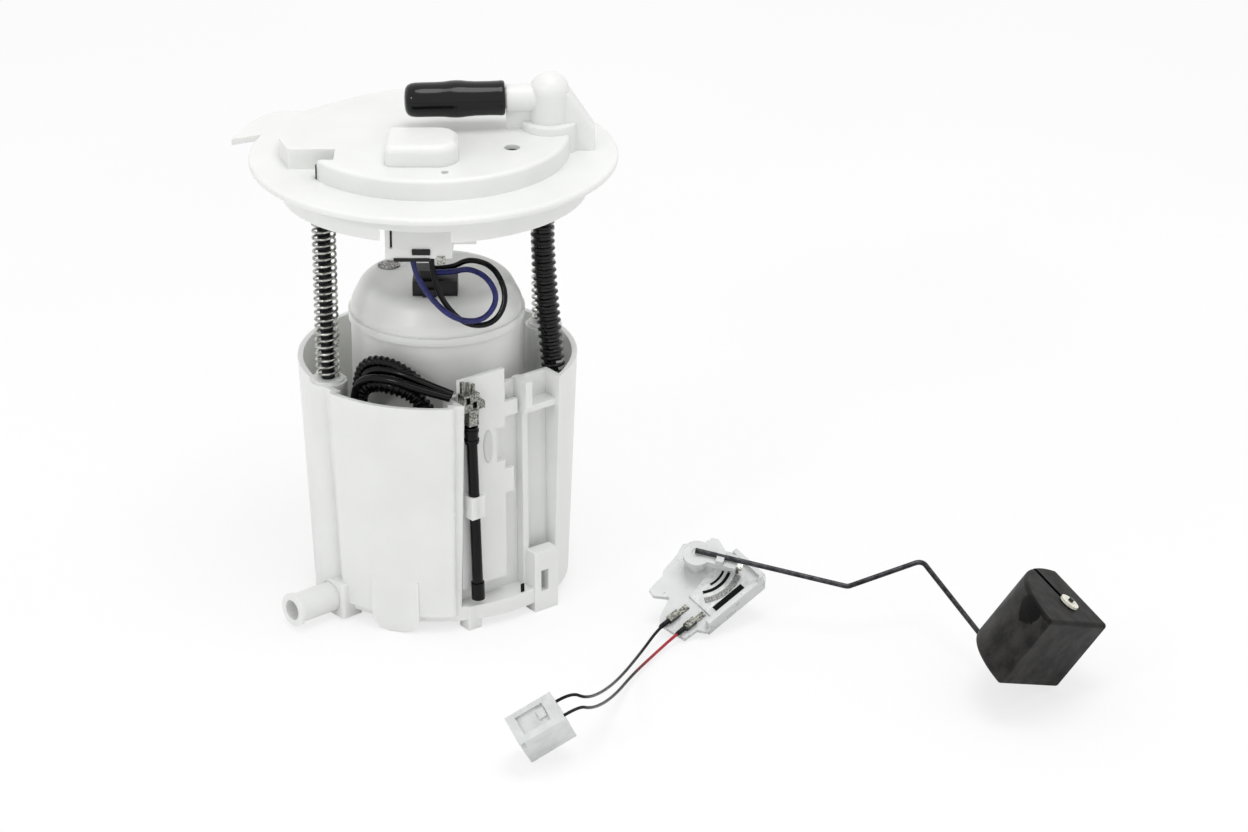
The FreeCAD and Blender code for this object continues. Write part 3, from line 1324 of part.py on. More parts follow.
# Outline of the sender's base in its own frame, the pivot at its origin
SENDER_OUTLINE = [
    ("-25.8", "-20.6"), ("-19.7", "-21"), ("-17.7", "-23.9"), ("3.9", "-23.6"), ("13.6", "-24"),
    ("16.1", "-20.4"), ("15.6", "-8.5"), ("12.4", "-3.3"), ("14", "2.3"), ("12.5", "4.8"),
    ("8.2", "3.3"), ("4.7", "8.7"), ("2.5", "10.3"), ("-3.4", "8.2"), ("-11.3", "6.8"),
    ("-13.2", "5.3"), ("-21", "4.5"), ("-21.7", "1.4"), ("-17.7", "-3.5"), ("-26.4", "-7.2"),
    ("-28.3", "-9.2"), ("-27.2", "-15.5"),
]
# First corners of the float arm in the sender's frame, and the float's lowest corner
ARM_FIRST = (31.6, -50.6)
ARM_SECOND = (60.5, -61.9)
FLOAT_CORNER = Vector(234.6, -96.8, 0.1)


def level_sender():
    frame = sender_frame()
    plate = padded("sender_base", SENDER_OUTLINE, "base_thickness",
                   ("0", "0", "card_level - base_thickness"))
    walls = box("sender_wall_low", "30", "sender_wall", "card_level + 4", ("-16", "-23.8", "0"))
    end = box("sender_wall_end", "sender_wall", "16", "card_level + 2", ("13.5", "-22", "0"))
    rear = box("sender_wall_rear", "22", "sender_wall", "card_level", ("-11", "3", "0"))
    leg = box("sender_leg", "6", "6", "sender_leg + 2", ("-6", "0", "-sender_leg"))
    rail = box("sender_rail", "14", "3", "13", ("-9", "2", "-11"))
    post = cylinder("pivot_post", "pivot_hub", "arm_level - holder_thickness - card_level - 2",
                    ("0", "0", "card_level - 1"))
    pin = cylinder("pivot_pin", "pivot_pin", "arm_level - arm_wire - moving_gap - card_level",
                   ("0", "0", "card_level"))
    keep("sender_housing", fuse("sender_housing", plate, walls, end, rear, leg, rail, post, pin), frame)

    card = padded("resistor_card", [
        ("-12", "-20.6"), ("11", "-20.6"), ("11", "-6"), ("7", "-5"), ("-12", "-8.5"),
    ], "card_thickness", ("0", "0", "card_level + laying_gap"))
    keep("resistor_card", card, frame)

    top = "card_level + card_thickness + 2 * laying_gap"
    tracks = []
    for i, (radius, width, reach) in enumerate((
            ("track_radius - 2.2", "0.9", "-5"), ("track_radius", "1.2", "-13"),
            ("track_radius + 3", "2.4", "-13"))):
        band = ring(f"track_band_{i}", f"{radius} + {width}", radius, "track_thickness", ("0", "0", top))
        limit = padded(f"track_limit_{i}", [("0", "0"), (reach, "-20"), ("11", "-20")], "3",
                       ("0", "0", f"{top} - 1"))
        tracks.append(common(f"track_{i}", band, limit))
    film = tracks.pop()
    tracks.append(box("track_bar", "bar_length", "bar_width", "track_thickness", ("-9", "-20.4", top)))
    keep("resistor_tracks", compound("resistor_tracks", tracks), frame)
    keep("resistor_film", film, frame)

    terminals = []
    for i, (x, y) in enumerate((("-25.5", "-12.2"), ("-23", "-18.8"))):
        strip = box(f"terminal_strip_{i}", "strip_length", "strip_width", "strip_thickness",
                    (x, y, "card_level + laying_gap"))
        crimp = box(f"terminal_crimp_{i}", "sender_crimp_length", "sender_crimp_width",
                    "sender_crimp_height", (f"{x} + 0.2", f"{y} - 0.2", "card_level + laying_gap"))
        terminals.append(fuse(f"sender_terminal_{i}", strip, crimp))
    keep("sender_terminals", compound("sender_terminals", terminals), frame)

    hub_low = "arm_level - holder_thickness - arm_wire"
    arm_angle = math.degrees(math.atan2(ARM_FIRST[1], ARM_FIRST[0]))
    hub = cylinder("holder_hub", "pivot_hub + 1.5", "holder_thickness", ("0", "0", hub_low))
    level = value(hub_low)
    paddle = move(box("holder_paddle", "paddle_length", "paddle_width", "holder_thickness"),
                  spun(arm_angle, Vector(0, -value("paddle_width") / 2, level)))
    clip = move(box("holder_clip", "arm_clip_length", "arm_clip_width", "holder_thickness + arm_clip_rise"),
                spun(arm_angle, Vector(value("arm_clip_reach"), -value("arm_clip_width") / 2, level)))
    pin_way = cylinder("holder_bore", "pivot_pin + running_gap", "20", ("0", "0", f"{hub_low} - 1"))
    arm_path = sharp_route(arm_points(), value("arm_bend"))
    wire = wire_solid(arm_path, value("arm_wire"))
    groove = shaped("arm_groove", wire)
    keep("arm_holder", cut("arm_holder", fuse("holder_solid", hub, paddle, clip), pin_way, groove), frame)
    keep("float_arm", shaped("float_arm", wire), frame)

    finger_low = "card_level + card_thickness + 0.3 + track_thickness"
    contacts = []
    for i, reach in enumerate(("track_radius", "track_radius + 3")):
        blade = box(f"contact_{i}", "contact_width", "contact_width", f"{hub_low} - ({finger_low})")
        start = Vector(value(reach), -value("contact_width") / 2, value(finger_low))
        contacts.append(move(blade, spun(arm_angle, start)))
    spring = move(box("contact_blade", "10", "3", "0.4"), spun(arm_angle, Vector(8, -1.5, level - 0.4)))
    keep("wiper_contacts", fuse("wiper_contacts", spring, *contacts), frame)


def arm_points():
    """The wire's corners in the sender's frame, to the far end of the float."""
    home = sender_frame().inverse()
    level = value("arm_level")
    axis = float_frame()
    bore = Vector(value("bore_u"), value("bore_v"), 0)
    nose = axis.multVec(bore + Vector(0, 0, value("float_length + 2.5")))
    back = axis.multVec(bore + Vector(0, 0, -3.6))
    return [Vector(0, 0.8, level), Vector(*ARM_FIRST, level), Vector(*ARM_SECOND, level),
            home.multVec(back), home.multVec(nose)]


def wire_solid(path, radius):
    first = path.Edges[0]
    direction = first.tangentAt(first.FirstParameter)
    section = Part.Wire(Part.makeCircle(radius, first.valueAt(first.FirstParameter), direction))
    return path.makePipeShell([section], True, False)


def sharp_route(points, bend):
    """Straight runs with one small bend radius at each corner."""
    edges, start = [], Vector(*points[0])
    for index in range(1, len(points) - 1):
        corner = Vector(*points[index])
        back, on = Vector(*points[index - 1]) - corner, Vector(*points[index + 1]) - corner
        half_turn = (math.pi - back.getAngle(on)) / 2
        reach = bend * math.tan(half_turn)
        enter = corner + back.normalize() * reach
        leave = corner + on.normalize() * reach
        middle = corner + (back + on).normalize() * (bend / math.cos(half_turn) - bend)
        edges.append(Part.LineSegment(start, enter).toShape())
        edges.append(Part.Arc(enter, middle, leave).toShape())
        start = leave
    edges.append(Part.LineSegment(start, Vector(*points[-1])).toShape())
    return Part.Wire(edges)


def jet_pump():
    pipe = on_jet(cylinder("jet_pipe", "jet_radius", "jet_end - jet_start"), "jet_start")
    lip = on_jet(cylinder("jet_lip", "jet_radius + 0.7", "2"), "jet_end - 2")
    way = on_jet(cylinder("jet_pipe_bore", "jet_bore", "jet_end - jet_start + 2"), "jet_start - 1")
    keep("jet_pump", cut("jet_pump", fuse("jet_solid", pipe, lip), way))
    plug = on_jet(cylinder("nozzle_plug", "jet_bore", "nozzle_length"), "jet_start")
    throat = on_jet(cylinder("nozzle_throat", "nozzle_bore", "nozzle_length + 2"), "jet_start - 1")
    funnel = on_jet(cone("nozzle_funnel", "nozzle_bore", "jet_bore - 0.8", "nozzle_length / 2 + 0.1"),
                    "jet_start + nozzle_length / 2")
    keep("jet_nozzle", cut("jet_nozzle", plug, throat, funnel))


def inlet_valve():
    floor_top = "bucket_bottom + bucket_floor"
    travel = "(umbrella_travel + moving_gap)"
    umbrella = turned("umbrella", [
        ("0", f"bucket_bottom - {travel} - 1.2"), ("umbrella_stem", f"bucket_bottom - {travel} - 1.2"),
        ("umbrella_bulb", f"bucket_bottom - {travel}"), ("umbrella_stem", f"bucket_bottom - {travel}"),
        ("umbrella_stem", f"{floor_top} + mating_gap"), ("umbrella_radius", f"{floor_top} + mating_gap"),
        ("umbrella_radius", f"{floor_top} + umbrella_thickness / 2"),
        ("umbrella_stem", f"{floor_top} + mating_gap + umbrella_thickness"),
        ("0", f"{floor_top} + mating_gap + umbrella_thickness"),
    ])
    place(umbrella, ("-inlet_valve_x", "inlet_valve_y", "0"))
    keep("inlet_valve", umbrella)


def inlet_strainer():
    low = "bucket_bottom + bucket_floor + mating_gap"
    pad = cylinder("strainer_pad", "strainer_radius", "strainer_height", ("0", "0", low))
    top = "shell_bottom + shell_lip"
    neck = cylinder("strainer_neck", "inlet_spigot + 1.5", f"{top} - mating_gap - ({low})", ("9", "0", low))
    way = cylinder("strainer_way", "inlet_spigot + mating_gap", "inlet_spigot_length + 1",
                   ("9", "0", f"{top} - inlet_spigot_length - mating_gap"))
    draw = cylinder("strainer_draw", "inlet_spigot - 2", "20", ("9", "0", f"{low} + 1"))
    keep("inlet_strainer", cut("inlet_strainer", fuse("strainer_solid", pad, neck), way, draw))


def float_and_retainer():
    frame = float_frame()
    arc_middle = ("float_u * 0.74", "float_v * 0.74")
    body = doc.addObject("PartDesign::Body", "float_body")
    sketch = body.newObject("Sketcher::SketchObject", "float_section")
    sketch.AttachmentSupport = [(origin_plane(body, "XY_Plane"), "")]
    sketch.MapMode = "FlatFace"
    corner, short, tall = Vector(), Vector(value("float_u"), 0, 0), Vector(0, value("float_v"), 0)
    sketch.addGeometry(Part.LineSegment(corner, short), False)
    sketch.addGeometry(Part.LineSegment(tall, corner), False)
    middle = Vector(*(value(text) for text in arc_middle), 0)
    sketch.addGeometry(Part.Arc(short, middle, tall), False)
    for first, start, second, end in ((0, 1, 1, 2), (0, 2, 2, 1), (1, 1, 2, 2)):
        sketch.addConstraint(Sketcher.Constraint("Coincident", first, start, second, end))
    sketch.addConstraint(Sketcher.Constraint("Coincident", 0, 1, -1, 1))
    sketch.addConstraint(Sketcher.Constraint("Horizontal", 0))
    sketch.addConstraint(Sketcher.Constraint("Vertical", 1))
    for index, size in ((0, "float_u"), (1, "float_v")):
        rank = sketch.addConstraint(Sketcher.Constraint("Distance", index, value(size)))
        sketch.setExpression(f"Constraints[{rank}]", sized(size))
    pad = body.newObject("PartDesign::Pad", "float_pad")
    pad.Profile = sketch
    pad.setExpression("Length", sized("float_length"))
    doc.recompute()
    rounded(body, "float_edges", "float_round", lambda p, e: True)
    bore = cylinder("float_bore", "arm_wire + running_gap", "float_length + 2", ("bore_u", "bore_v", "-1"))
    slot = box("float_slot", "float_u - bore_u + 1", "float_slot_width", "float_slot_depth + 0.2",
               ("bore_u", "bore_v - float_slot_width / 2", "float_length - float_slot_depth"))
    keep("float", cut("float", body, bore, slot), frame)
    nut = ring("retainer_disc", "retainer_radius", "arm_wire", "retainer_thickness",
               ("bore_u", "bore_v", "float_length + moving_gap"))
    keep("float_retainer", nut, frame)


def sender_plug():
    """A two way plug that rests on one corner, its wired end raised."""
    along_plug = Vector(0.8598, 0.2319, 0.4550)
    up = Vector(-0.2027, -0.6656, 0.7182)
    turn = Rotation(along_plug, up.cross(along_plug), up, "XZY")
    corner = Vector(38.67, -154.97, 0.13)
    shell = box("sender_plug_shell", "sender_plug_length", "sender_plug_width", "sender_plug_height")
    recess = box("sender_plug_recess", "plug_recess_length", "plug_recess_width", "2",
                 ("3.4", "2.6", "sender_plug_height - plug_recess_depth"))
    ramp = box("sender_plug_ramp", "3", "3.6", "1", ("11", "5", "sender_plug_height - 1.6"))
    notch = box("sender_plug_notch", "plug_notch + 1", "plug_notch + 1", "5",
                ("-1", "-1", "sender_plug_height - plug_notch_height"))
    solid = fuse("sender_plug_solid", cut("sender_plug_form", shell, recess, notch), ramp)
    keep("sender_plug", solid, Placement(corner, turn))


flange_cover()
connector_shroud()
flange_terminals()
outlet_cap()
guide_rods()
strut_springs()
corrugated_hose()
lead_plug()
pump_plug()
filter_canister()
filter_element()
pump_cartridge()
pressure_regulator()
reservoir_bucket()
sender_bracket()
temperature_sensor()
sensor_terminal()
level_sender()
float_and_retainer()
jet_pump()
inlet_valve()
inlet_strainer()
sender_plug()
tube("pump_lead_black", BLACK_LEAD, value("lead_radius"))
tube("pump_lead_blue", BLUE_LEAD, value("lead_radius"))
tube("sender_lead_black", BLACK_SENDER_LEAD, value("thin_lead_radius"))
tube("sender_lead_red", RED_SENDER_LEAD, value("thin_lead_radius"))
tube("harness_loom", LOOM, value("loom_radius"))

doc.recompute()
faults = [item.Name for item in doc.Objects if "Invalid" in item.State or "Error" in item.State]
faults += [node for node, item in pieces.items() if item.Shape.isNull() or not item.Shape.isValid()]
if faults:
    raise SystemExit("Not built: " + ", ".join(sorted(faults)))
for node, item in sorted(pieces.items()):
    item.Shape.exportStep(f"parts/{node}.step")
    print(node, len(item.Shape.Solids), round(item.Shape.Volume, 1))
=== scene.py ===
import math

import bpy
from mathutils import Euler, Matrix, Vector


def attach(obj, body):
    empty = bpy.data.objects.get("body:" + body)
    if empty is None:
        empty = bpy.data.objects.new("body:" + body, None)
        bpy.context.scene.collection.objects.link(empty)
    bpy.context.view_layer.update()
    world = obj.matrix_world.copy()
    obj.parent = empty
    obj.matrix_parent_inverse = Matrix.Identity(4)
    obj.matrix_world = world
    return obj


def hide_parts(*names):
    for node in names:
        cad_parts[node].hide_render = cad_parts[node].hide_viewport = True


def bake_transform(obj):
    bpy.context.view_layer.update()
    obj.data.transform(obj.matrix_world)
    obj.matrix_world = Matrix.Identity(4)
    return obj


# Fuel pump module with its loose level sender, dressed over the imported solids.
# Everything is in metres, Z up, the outlet and the pump plug to the front (-Y).

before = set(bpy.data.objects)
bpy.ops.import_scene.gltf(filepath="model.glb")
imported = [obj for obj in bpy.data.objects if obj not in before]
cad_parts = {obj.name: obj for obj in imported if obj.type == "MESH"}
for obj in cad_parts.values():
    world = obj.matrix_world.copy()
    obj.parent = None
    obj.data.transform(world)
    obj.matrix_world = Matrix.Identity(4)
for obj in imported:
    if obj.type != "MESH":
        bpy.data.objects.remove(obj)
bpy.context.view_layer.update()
bpy.ops.object.select_all(action="DESELECT")

MM = 0.001

# Finishes

PATCH_EDGES = (0.35, 0.65)    # noise levels at which a patch starts and is full
SKIN_DEPTH = 0.01             # relief of a moulded or drawn skin, in millimetres


def linear(colour, alpha=1.0):
    """A hex sRGB colour as linear values, by the sRGB curve."""
    parts = [int(colour[i:i + 2], 16) / 255 for i in (1, 3, 5)]
    return [c / 12.92 if c <= 0.04045 else ((c + 0.055) / 1.055) ** 2.4 for c in parts] + [alpha]


def add(tree, kind, settings=None, **inputs):
    """Adds a node, sets its properties, then its sockets, by value or by a link."""
    node = tree.nodes.new(kind)
    for name, setting in (settings or {}).items():
        setattr(node, name, setting)
    for name, given in inputs.items():
        socket = node.inputs[int(name[1:]) if name[0] == "_" else name.replace("_", " ")]
        if isinstance(given, bpy.types.NodeSocket):
            tree.links.new(given, socket)
        else:
            socket.default_value = given
    return node


def finish_of(name):
    """An empty material with its object coordinates in millimetres."""
    material = bpy.data.materials.new(name)
    material.use_nodes = True
    tree = material.node_tree
    tree.nodes.clear()
    place = add(tree, "ShaderNodeTexCoord").outputs["Object"]
    scaled = add(tree, "ShaderNodeVectorMath", {"operation": "SCALE"}, _0=place, Scale=1000.0)
    return material, tree, scaled.outputs[0]


def close(tree, shader):
    """Ends a material with its shader."""
    add(tree, "ShaderNodeOutputMaterial", Surface=shader.outputs[0])


def stepped(tree, share, edges, colours):
    """A colour that turns from the first to the second between two levels of a share."""
    ramp = add(tree, "ShaderNodeValToRGB", Fac=share)
    for stop, edge, colour in zip(ramp.color_ramp.elements, edges, colours):
        stop.position = edge
        stop.color = colour
    return ramp.outputs["Color"]


def mottled(tree, place, size, low, high, detail=3.0):
    """A blend of two colours in soft patches of a size in millimetres, and the noise behind it."""
    noise = add(tree, "ShaderNodeTexNoise", Vector=place, Scale=1 / size, Detail=detail, Roughness=0.55)
    return stepped(tree, noise.outputs["Fac"], PATCH_EDGES, (low, high)), noise.outputs["Fac"]


def grained(tree, place, size, depth, strength=0.4):
    """The bump of a fine skin: grain size and depth in millimetres."""
    noise = add(tree, "ShaderNodeTexNoise", Vector=place, Scale=1 / size, Detail=4.0)
    return add(tree, "ShaderNodeBump", Height=noise.outputs["Fac"], Distance=depth * MM,
               Strength=strength).outputs["Normal"]


def moulded(name, low, high, patch, rough, ior, through=0.0, glow=0.0, reach=3.0, grain=0.35,
            shine=0.5):
    """A moulded thermoplastic: soft flow patches, a satin skin, light that sinks in."""
    material, tree, place = finish_of(name)
    colour, field = mottled(tree, place, patch, linear(low), linear(high))
    spread = add(tree, "ShaderNodeMapRange", Value=field, To_Min=rough - 0.04, To_Max=rough + 0.05)
    shader = add(tree, "ShaderNodeBsdfPrincipled", Base_Color=colour, Roughness=spread.outputs[0],
                 Normal=grained(tree, place, grain, SKIN_DEPTH))
    shader.inputs["IOR"].default_value = ior
    shader.inputs["Specular IOR Level"].default_value = shine
    shader.inputs["Transmission Weight"].default_value = through
    shader.inputs["Subsurface Weight"].default_value = glow
    shader.inputs["Subsurface Scale"].default_value = reach * MM
    shader.inputs["Subsurface Radius"].default_value = (1.0, 0.98, 0.94)
    close(tree, shader)
    return material


def drawn_metal(name, low, high, rough, lines, stretch, patch=2.5):
    """A drawn or rolled metal: fine lines along its length, uneven brightness."""
    material, tree, place = finish_of(name)
    colour, _ = mottled(tree, place, patch, linear(low), linear(high))
    streak = add(tree, "ShaderNodeVectorMath", {"operation": "MULTIPLY"}, _0=place, _1=stretch).outputs[0]
    noise = add(tree, "ShaderNodeTexNoise", Vector=streak, Scale=1 / lines, Detail=2.0)
    spread = add(tree, "ShaderNodeMapRange", Value=noise.outputs["Fac"], To_Min=rough - 0.08,
                 To_Max=rough + 0.12)
    bump = add(tree, "ShaderNodeBump", Height=noise.outputs["Fac"], Distance=SKIN_DEPTH * MM,
               Strength=0.35)
    shader = add(tree, "ShaderNodeBsdfPrincipled", Base_Color=colour, Metallic=1.0,
                 Roughness=spread.outputs[0], Normal=bump.outputs["Normal"])
    close(tree, shader)
    return material


# Acetal copolymer, injection moulded: bone white, slightly see-through in thin walls, satin
acetal = moulded("acetal_copolymer_natural", "#E6E7E5", "#EAEBE9", 26, 0.34, 1.48, glow=0.4,
                 reach=3.0)
# Polyamide canister, welded: milkier and a shade warmer than the acetal
milky_nylon = moulded("polyamide_milky", "#E7E8E5", "#EBECE9", 20, 0.32, 1.53, glow=0.5, reach=5.0)
# Unfilled polypropylene clips: grey-clear with soft highlights
clear_polypropylene = moulded("polypropylene_clear", "#DDDFDE", "#E6E8E7", 9, 0.28, 1.49, through=0.3,
                              glow=0.2)
# Plasticised vinyl cap, dipped: deep black with a wet shine
dipped_vinyl = moulded("dipped_vinyl_black", "#020203", "#050506", 6, 0.13, 1.53, grain=0.8, shine=0.3)
# Glass filled polyamide plug: black, matte from its fibres; also the black strip of painted shadow under
# the lead socket
filled_nylon = moulded("glass_filled_polyamide_black", "#060606", "#0C0C0D", 3, 0.42, 1.53, shine=0.3)
# Extruded polyamide hose: black with a low sheen on its crests
hose_nylon = moulded("polyamide_hose_black", "#010102", "#050507", 5, 0.16, 1.53, grain=0.5, shine=0.35)
# Cross-linked lead insulation: smooth extruded skins
lead_black = moulded("lead_insulation_black", "#010102", "#050507", 4, 0.14, 1.5, grain=0.25, shine=0.22)
lead_blue = moulded("lead_insulation_blue", "#191B4E", "#272B70", 4, 0.24, 1.5, grain=0.25, shine=0.35)
# Heat-shrink sleeve: black, a little waxy
shrink_sleeve = moulded("polyolefin_sleeve_black", "#010102", "#050506", 3, 0.2, 1.49, grain=0.6,
                        shine=0.22)
# Nylon plug of the sender: grey-white, barely see-through
plug_nylon = moulded("polyamide_plug_white", "#CFD2D1", "#E0E3E2", 7, 0.38, 1.53, glow=0.25, through=0.1)
# White alumina card, screen printed: chalky
alumina = moulded("alumina_card", "#C9CCCB", "#E2E4E3", 2, 0.5, 1.6)
# Printed resistor ink: carbon black, matt
resistor_ink = moulded("resistor_ink", "#020202", "#080808", 1.2, 0.6, 1.5, shine=0.1)
# Sprayed carbon film beside the tracks: grey and speckled
carbon_film = moulded("carbon_film_speckled", "#4A4A4A", "#B4B4B2", 0.5, 0.55, 1.5)
# Pale retaining ring on the float
retainer_nylon = moulded("polyamide_ring_ivory", "#D9D6C8", "#EEEBDD", 1.5, 0.4, 1.53)
# Filter paper, folded: warm cream fibres
filter_paper = moulded("filter_paper", "#C8B684", "#D8C898", 1.5, 0.85, 1.45, grain=0.4)
# Woven polyamide strainer
strainer_cloth = moulded("strainer_cloth", "#BFC3C2", "#DADDDC", 0.8, 0.6, 1.53, grain=0.3)
# Nitrile rubber seal and valve: dull black; the same black paints the shade in the plateau's holes, in
# the terminal's windows and at the bay's foot
nitrile = moulded("nitrile_rubber", "#060606", "#101010", 2, 0.6, 1.52, shine=0.15)
# Sintered ferrite and carbon: dark grey, fine pores
ferrite = moulded("sintered_ferrite", "#232325", "#343437", 0.8, 0.5, 1.6)
# Phenolic impeller: tan-brown resin
phenolic = moulded("phenolic_resin", "#4A2E1D", "#6B4630", 1.5, 0.42, 1.6)
# Spring wire, zinc plated: bright with dark reflections
spring_steel = drawn_metal("zinc_plated_spring_wire", "#6E6E6A", "#D2D2CC", 0.2, 0.3, (1, 1, 1))
# Drawn strut rod: dark grey, lines along its length
rod_steel = drawn_metal("drawn_steel_rod", "#242526", "#3C3D3F", 0.34, 0.3, (1, 1, 0.08))
# Float arm wire: hard-drawn, dark oxide skin
arm_steel = drawn_metal("hard_drawn_arm_wire", "#2A2A2C", "#4A4A4D", 0.36, 0.35, (1, 1, 1))
# Deep drawn pump shell, zinc plated
shell_steel = drawn_metal("zinc_plated_shell", "#9A9B9B", "#BEBFBF", 0.3, 0.4, (1, 1, 0.1))
# Die-cast pump housings
cast_aluminium = drawn_metal("die_cast_aluminium", "#8C8E90", "#AEB0B2", 0.48, 0.5, (1, 1, 1))
# Tin plated brass contacts: soft silver
tinned_brass = drawn_metal("tinned_brass", "#55554F", "#C9C9C2", 0.3, 0.25, (1, 1, 1), patch=0.7)
# Crimped bronze terminals of the sender: folded; near-black patches in their colour are painted shade for
# the shadow in their folds
crimped_bronze_painted_shade = drawn_metal("crimped_bronze_painted_shade", "#020202", "#70706A", 0.3, 0.42, (1, 1, 1), patch=0.9)
# Copper winding with steel laminations
copper_winding = drawn_metal("enamelled_copper", "#7A3F22", "#A8623A", 0.36, 0.3, (0.2, 1, 1))
# Vent gauze: fine grey steel mesh clogged in places
vent_gauze = drawn_metal("vent_gauze", "#1B1A1A", "#C8C6C4", 0.5, 0.6, (1, 1, 1), patch=0.8)


# The float's near end in its own mesh, in millimetres: the way it faces and its level that way, the
# way across its groove and the groove's level that way
FLOAT_OUTWARD = Vector((0.577, 0.015, 0.817)).normalized()
FLOAT_ACROSS = Vector((-0.561, -0.721, 0.407)).normalized()
FLOAT_END_LEVEL = 165.45
FLOAT_GROOVE_LEVEL = -45.03
FLOAT_GROOVE_SHADE_FADE, FLOAT_GROOVE_SHADE_FULL = 2.1, 1.7    # half widths of the painted shade along the groove
FLOAT_BLACK_SPOT = (220.5, -119.0, 45.0)


def share_above(tree, place, direction, low, high):
    """How far along a direction a place is, from 0 at the low level to 1 at the high one."""
    level = add(tree, "ShaderNodeVectorMath", {"operation": "DOT_PRODUCT"}, _0=place, _1=direction)
    share = add(tree, "ShaderNodeMapRange", Value=level.outputs["Value"], From_Min=low, From_Max=high)
    return share.outputs[0]


def tinted(tree, share, under, over):
    """One colour over another by a share."""
    return add(tree, "ShaderNodeMix", {"data_type": "RGBA"}, _0=share, _6=under, _7=over).outputs[2]


def product(tree, first, second):
    """Two shares multiplied."""
    return add(tree, "ShaderNodeMath", {"operation": "MULTIPLY"}, _0=first, _1=second).outputs[0]


def foam_rubber():
    """Closed-cell nitrile foam: charcoal sides with pits and pale specks, a black skin on the near
    end, a black band of painted shade along its groove and a black spot with a ragged edge."""
    material, tree, place = finish_of("closed_cell_nitrile_foam")
    sides, _ = mottled(tree, place, 7, linear("#1B1A1A"), linear("#333130"), 5.0)
    skin, _ = mottled(tree, place, 3, linear("#060505"), linear("#171412"), 5.0)
    near_end = share_above(tree, place, FLOAT_OUTWARD, FLOAT_END_LEVEL - 2.0, FLOAT_END_LEVEL - 1.2)
    colour = tinted(tree, near_end, sides, skin)
    cells = add(tree, "ShaderNodeTexVoronoi", Vector=place, Scale=1.1)
    specks = stepped(tree, cells.outputs["Distance"], (0.05, 0.16), (linear("#6A645E"), (0, 0, 0, 1)))
    colour = add(tree, "ShaderNodeMix", {"data_type": "RGBA", "blend_type": "ADD"}, _0=0.3, _6=colour,
                 _7=specks).outputs[2]
    # Painted shade: a black band along the groove on the near end, for the shadow in the groove
    beside, beyond = [
        share_above(tree, place, FLOAT_ACROSS, FLOAT_GROOVE_LEVEL + side * FLOAT_GROOVE_SHADE_FADE,
                    FLOAT_GROOVE_LEVEL + side * FLOAT_GROOVE_SHADE_FULL) for side in (-1, 1)]
    in_end = share_above(tree, place, FLOAT_OUTWARD, FLOAT_END_LEVEL - 2.4, FLOAT_END_LEVEL - 2.0)
    colour = tinted(tree, product(tree, product(tree, beside, beyond), in_end), colour, (0, 0, 0, 1))
    # A near-black spot with a ragged edge around one point of the float
    wander = add(tree, "ShaderNodeTexNoise", Vector=place, Scale=0.35, Detail=3.0).outputs["Fac"]
    away = add(tree, "ShaderNodeVectorMath", {"operation": "DISTANCE"}, _0=place, _1=FLOAT_BLACK_SPOT)
    ragged = add(tree, "ShaderNodeMath", {"operation": "MULTIPLY_ADD"}, _0=wander, _1=5.0,
                 _2=away.outputs["Value"])
    black_spot = add(tree, "ShaderNodeMapRange", Value=ragged.outputs[0], From_Min=9.0, From_Max=8.4)
    colour = tinted(tree, black_spot.outputs[0], colour, (0.0005, 0.0005, 0.0005, 1))
    patch = add(tree, "ShaderNodeTexNoise", Vector=place, Scale=0.16, Detail=4.0)
    spread = add(tree, "ShaderNodeMapRange", Value=patch.outputs["Fac"], To_Min=0.35, To_Max=0.65)
    pits = add(tree, "ShaderNodeTexNoise", Vector=place, Scale=1.4, Detail=5.0)
    bump = add(tree, "ShaderNodeBump", Height=pits.outputs["Fac"], Distance=0.12 * MM, Strength=0.5)
    shader = add(tree, "ShaderNodeBsdfPrincipled", Base_Color=colour, Roughness=spread.outputs[0],
                 Normal=bump.outputs["Normal"])
    shader.inputs["Specular IOR Level"].default_value = 0.12
    close(tree, shader)
    return material


def red_to_black_lead():
    """Red insulation that darkens to black a third of the way from the sender to the plug."""
    material, tree, place = finish_of("lead_insulation_red")
    along = add(tree, "ShaderNodeSeparateXYZ", Vector=place).outputs["Y"]
    wander = add(tree, "ShaderNodeTexNoise", Vector=place, Scale=0.2, Detail=2.0).outputs["Fac"]
    shifted = add(tree, "ShaderNodeMath", {"operation": "MULTIPLY_ADD"}, _0=wander, _1=14.0, _2=along)
    share = add(tree, "ShaderNodeMapRange", Value=shifted.outputs[0], From_Min=-86.0, From_Max=-66.0)
    colour = add(tree, "ShaderNodeMix", {"data_type": "RGBA"}, _0=share.outputs[0],
                 _6=linear("#0A0608"), _7=linear("#A5202C"))
    shader = add(tree, "ShaderNodeBsdfPrincipled", Base_Color=colour.outputs[2], Roughness=0.26,
                 Normal=grained(tree, place, 0.25, SKIN_DEPTH))
    shader.inputs["Specular IOR Level"].default_value = 0.3
    close(tree, shader)
    return material


nitrile_foam = foam_rubber()
lead_red = red_to_black_lead()

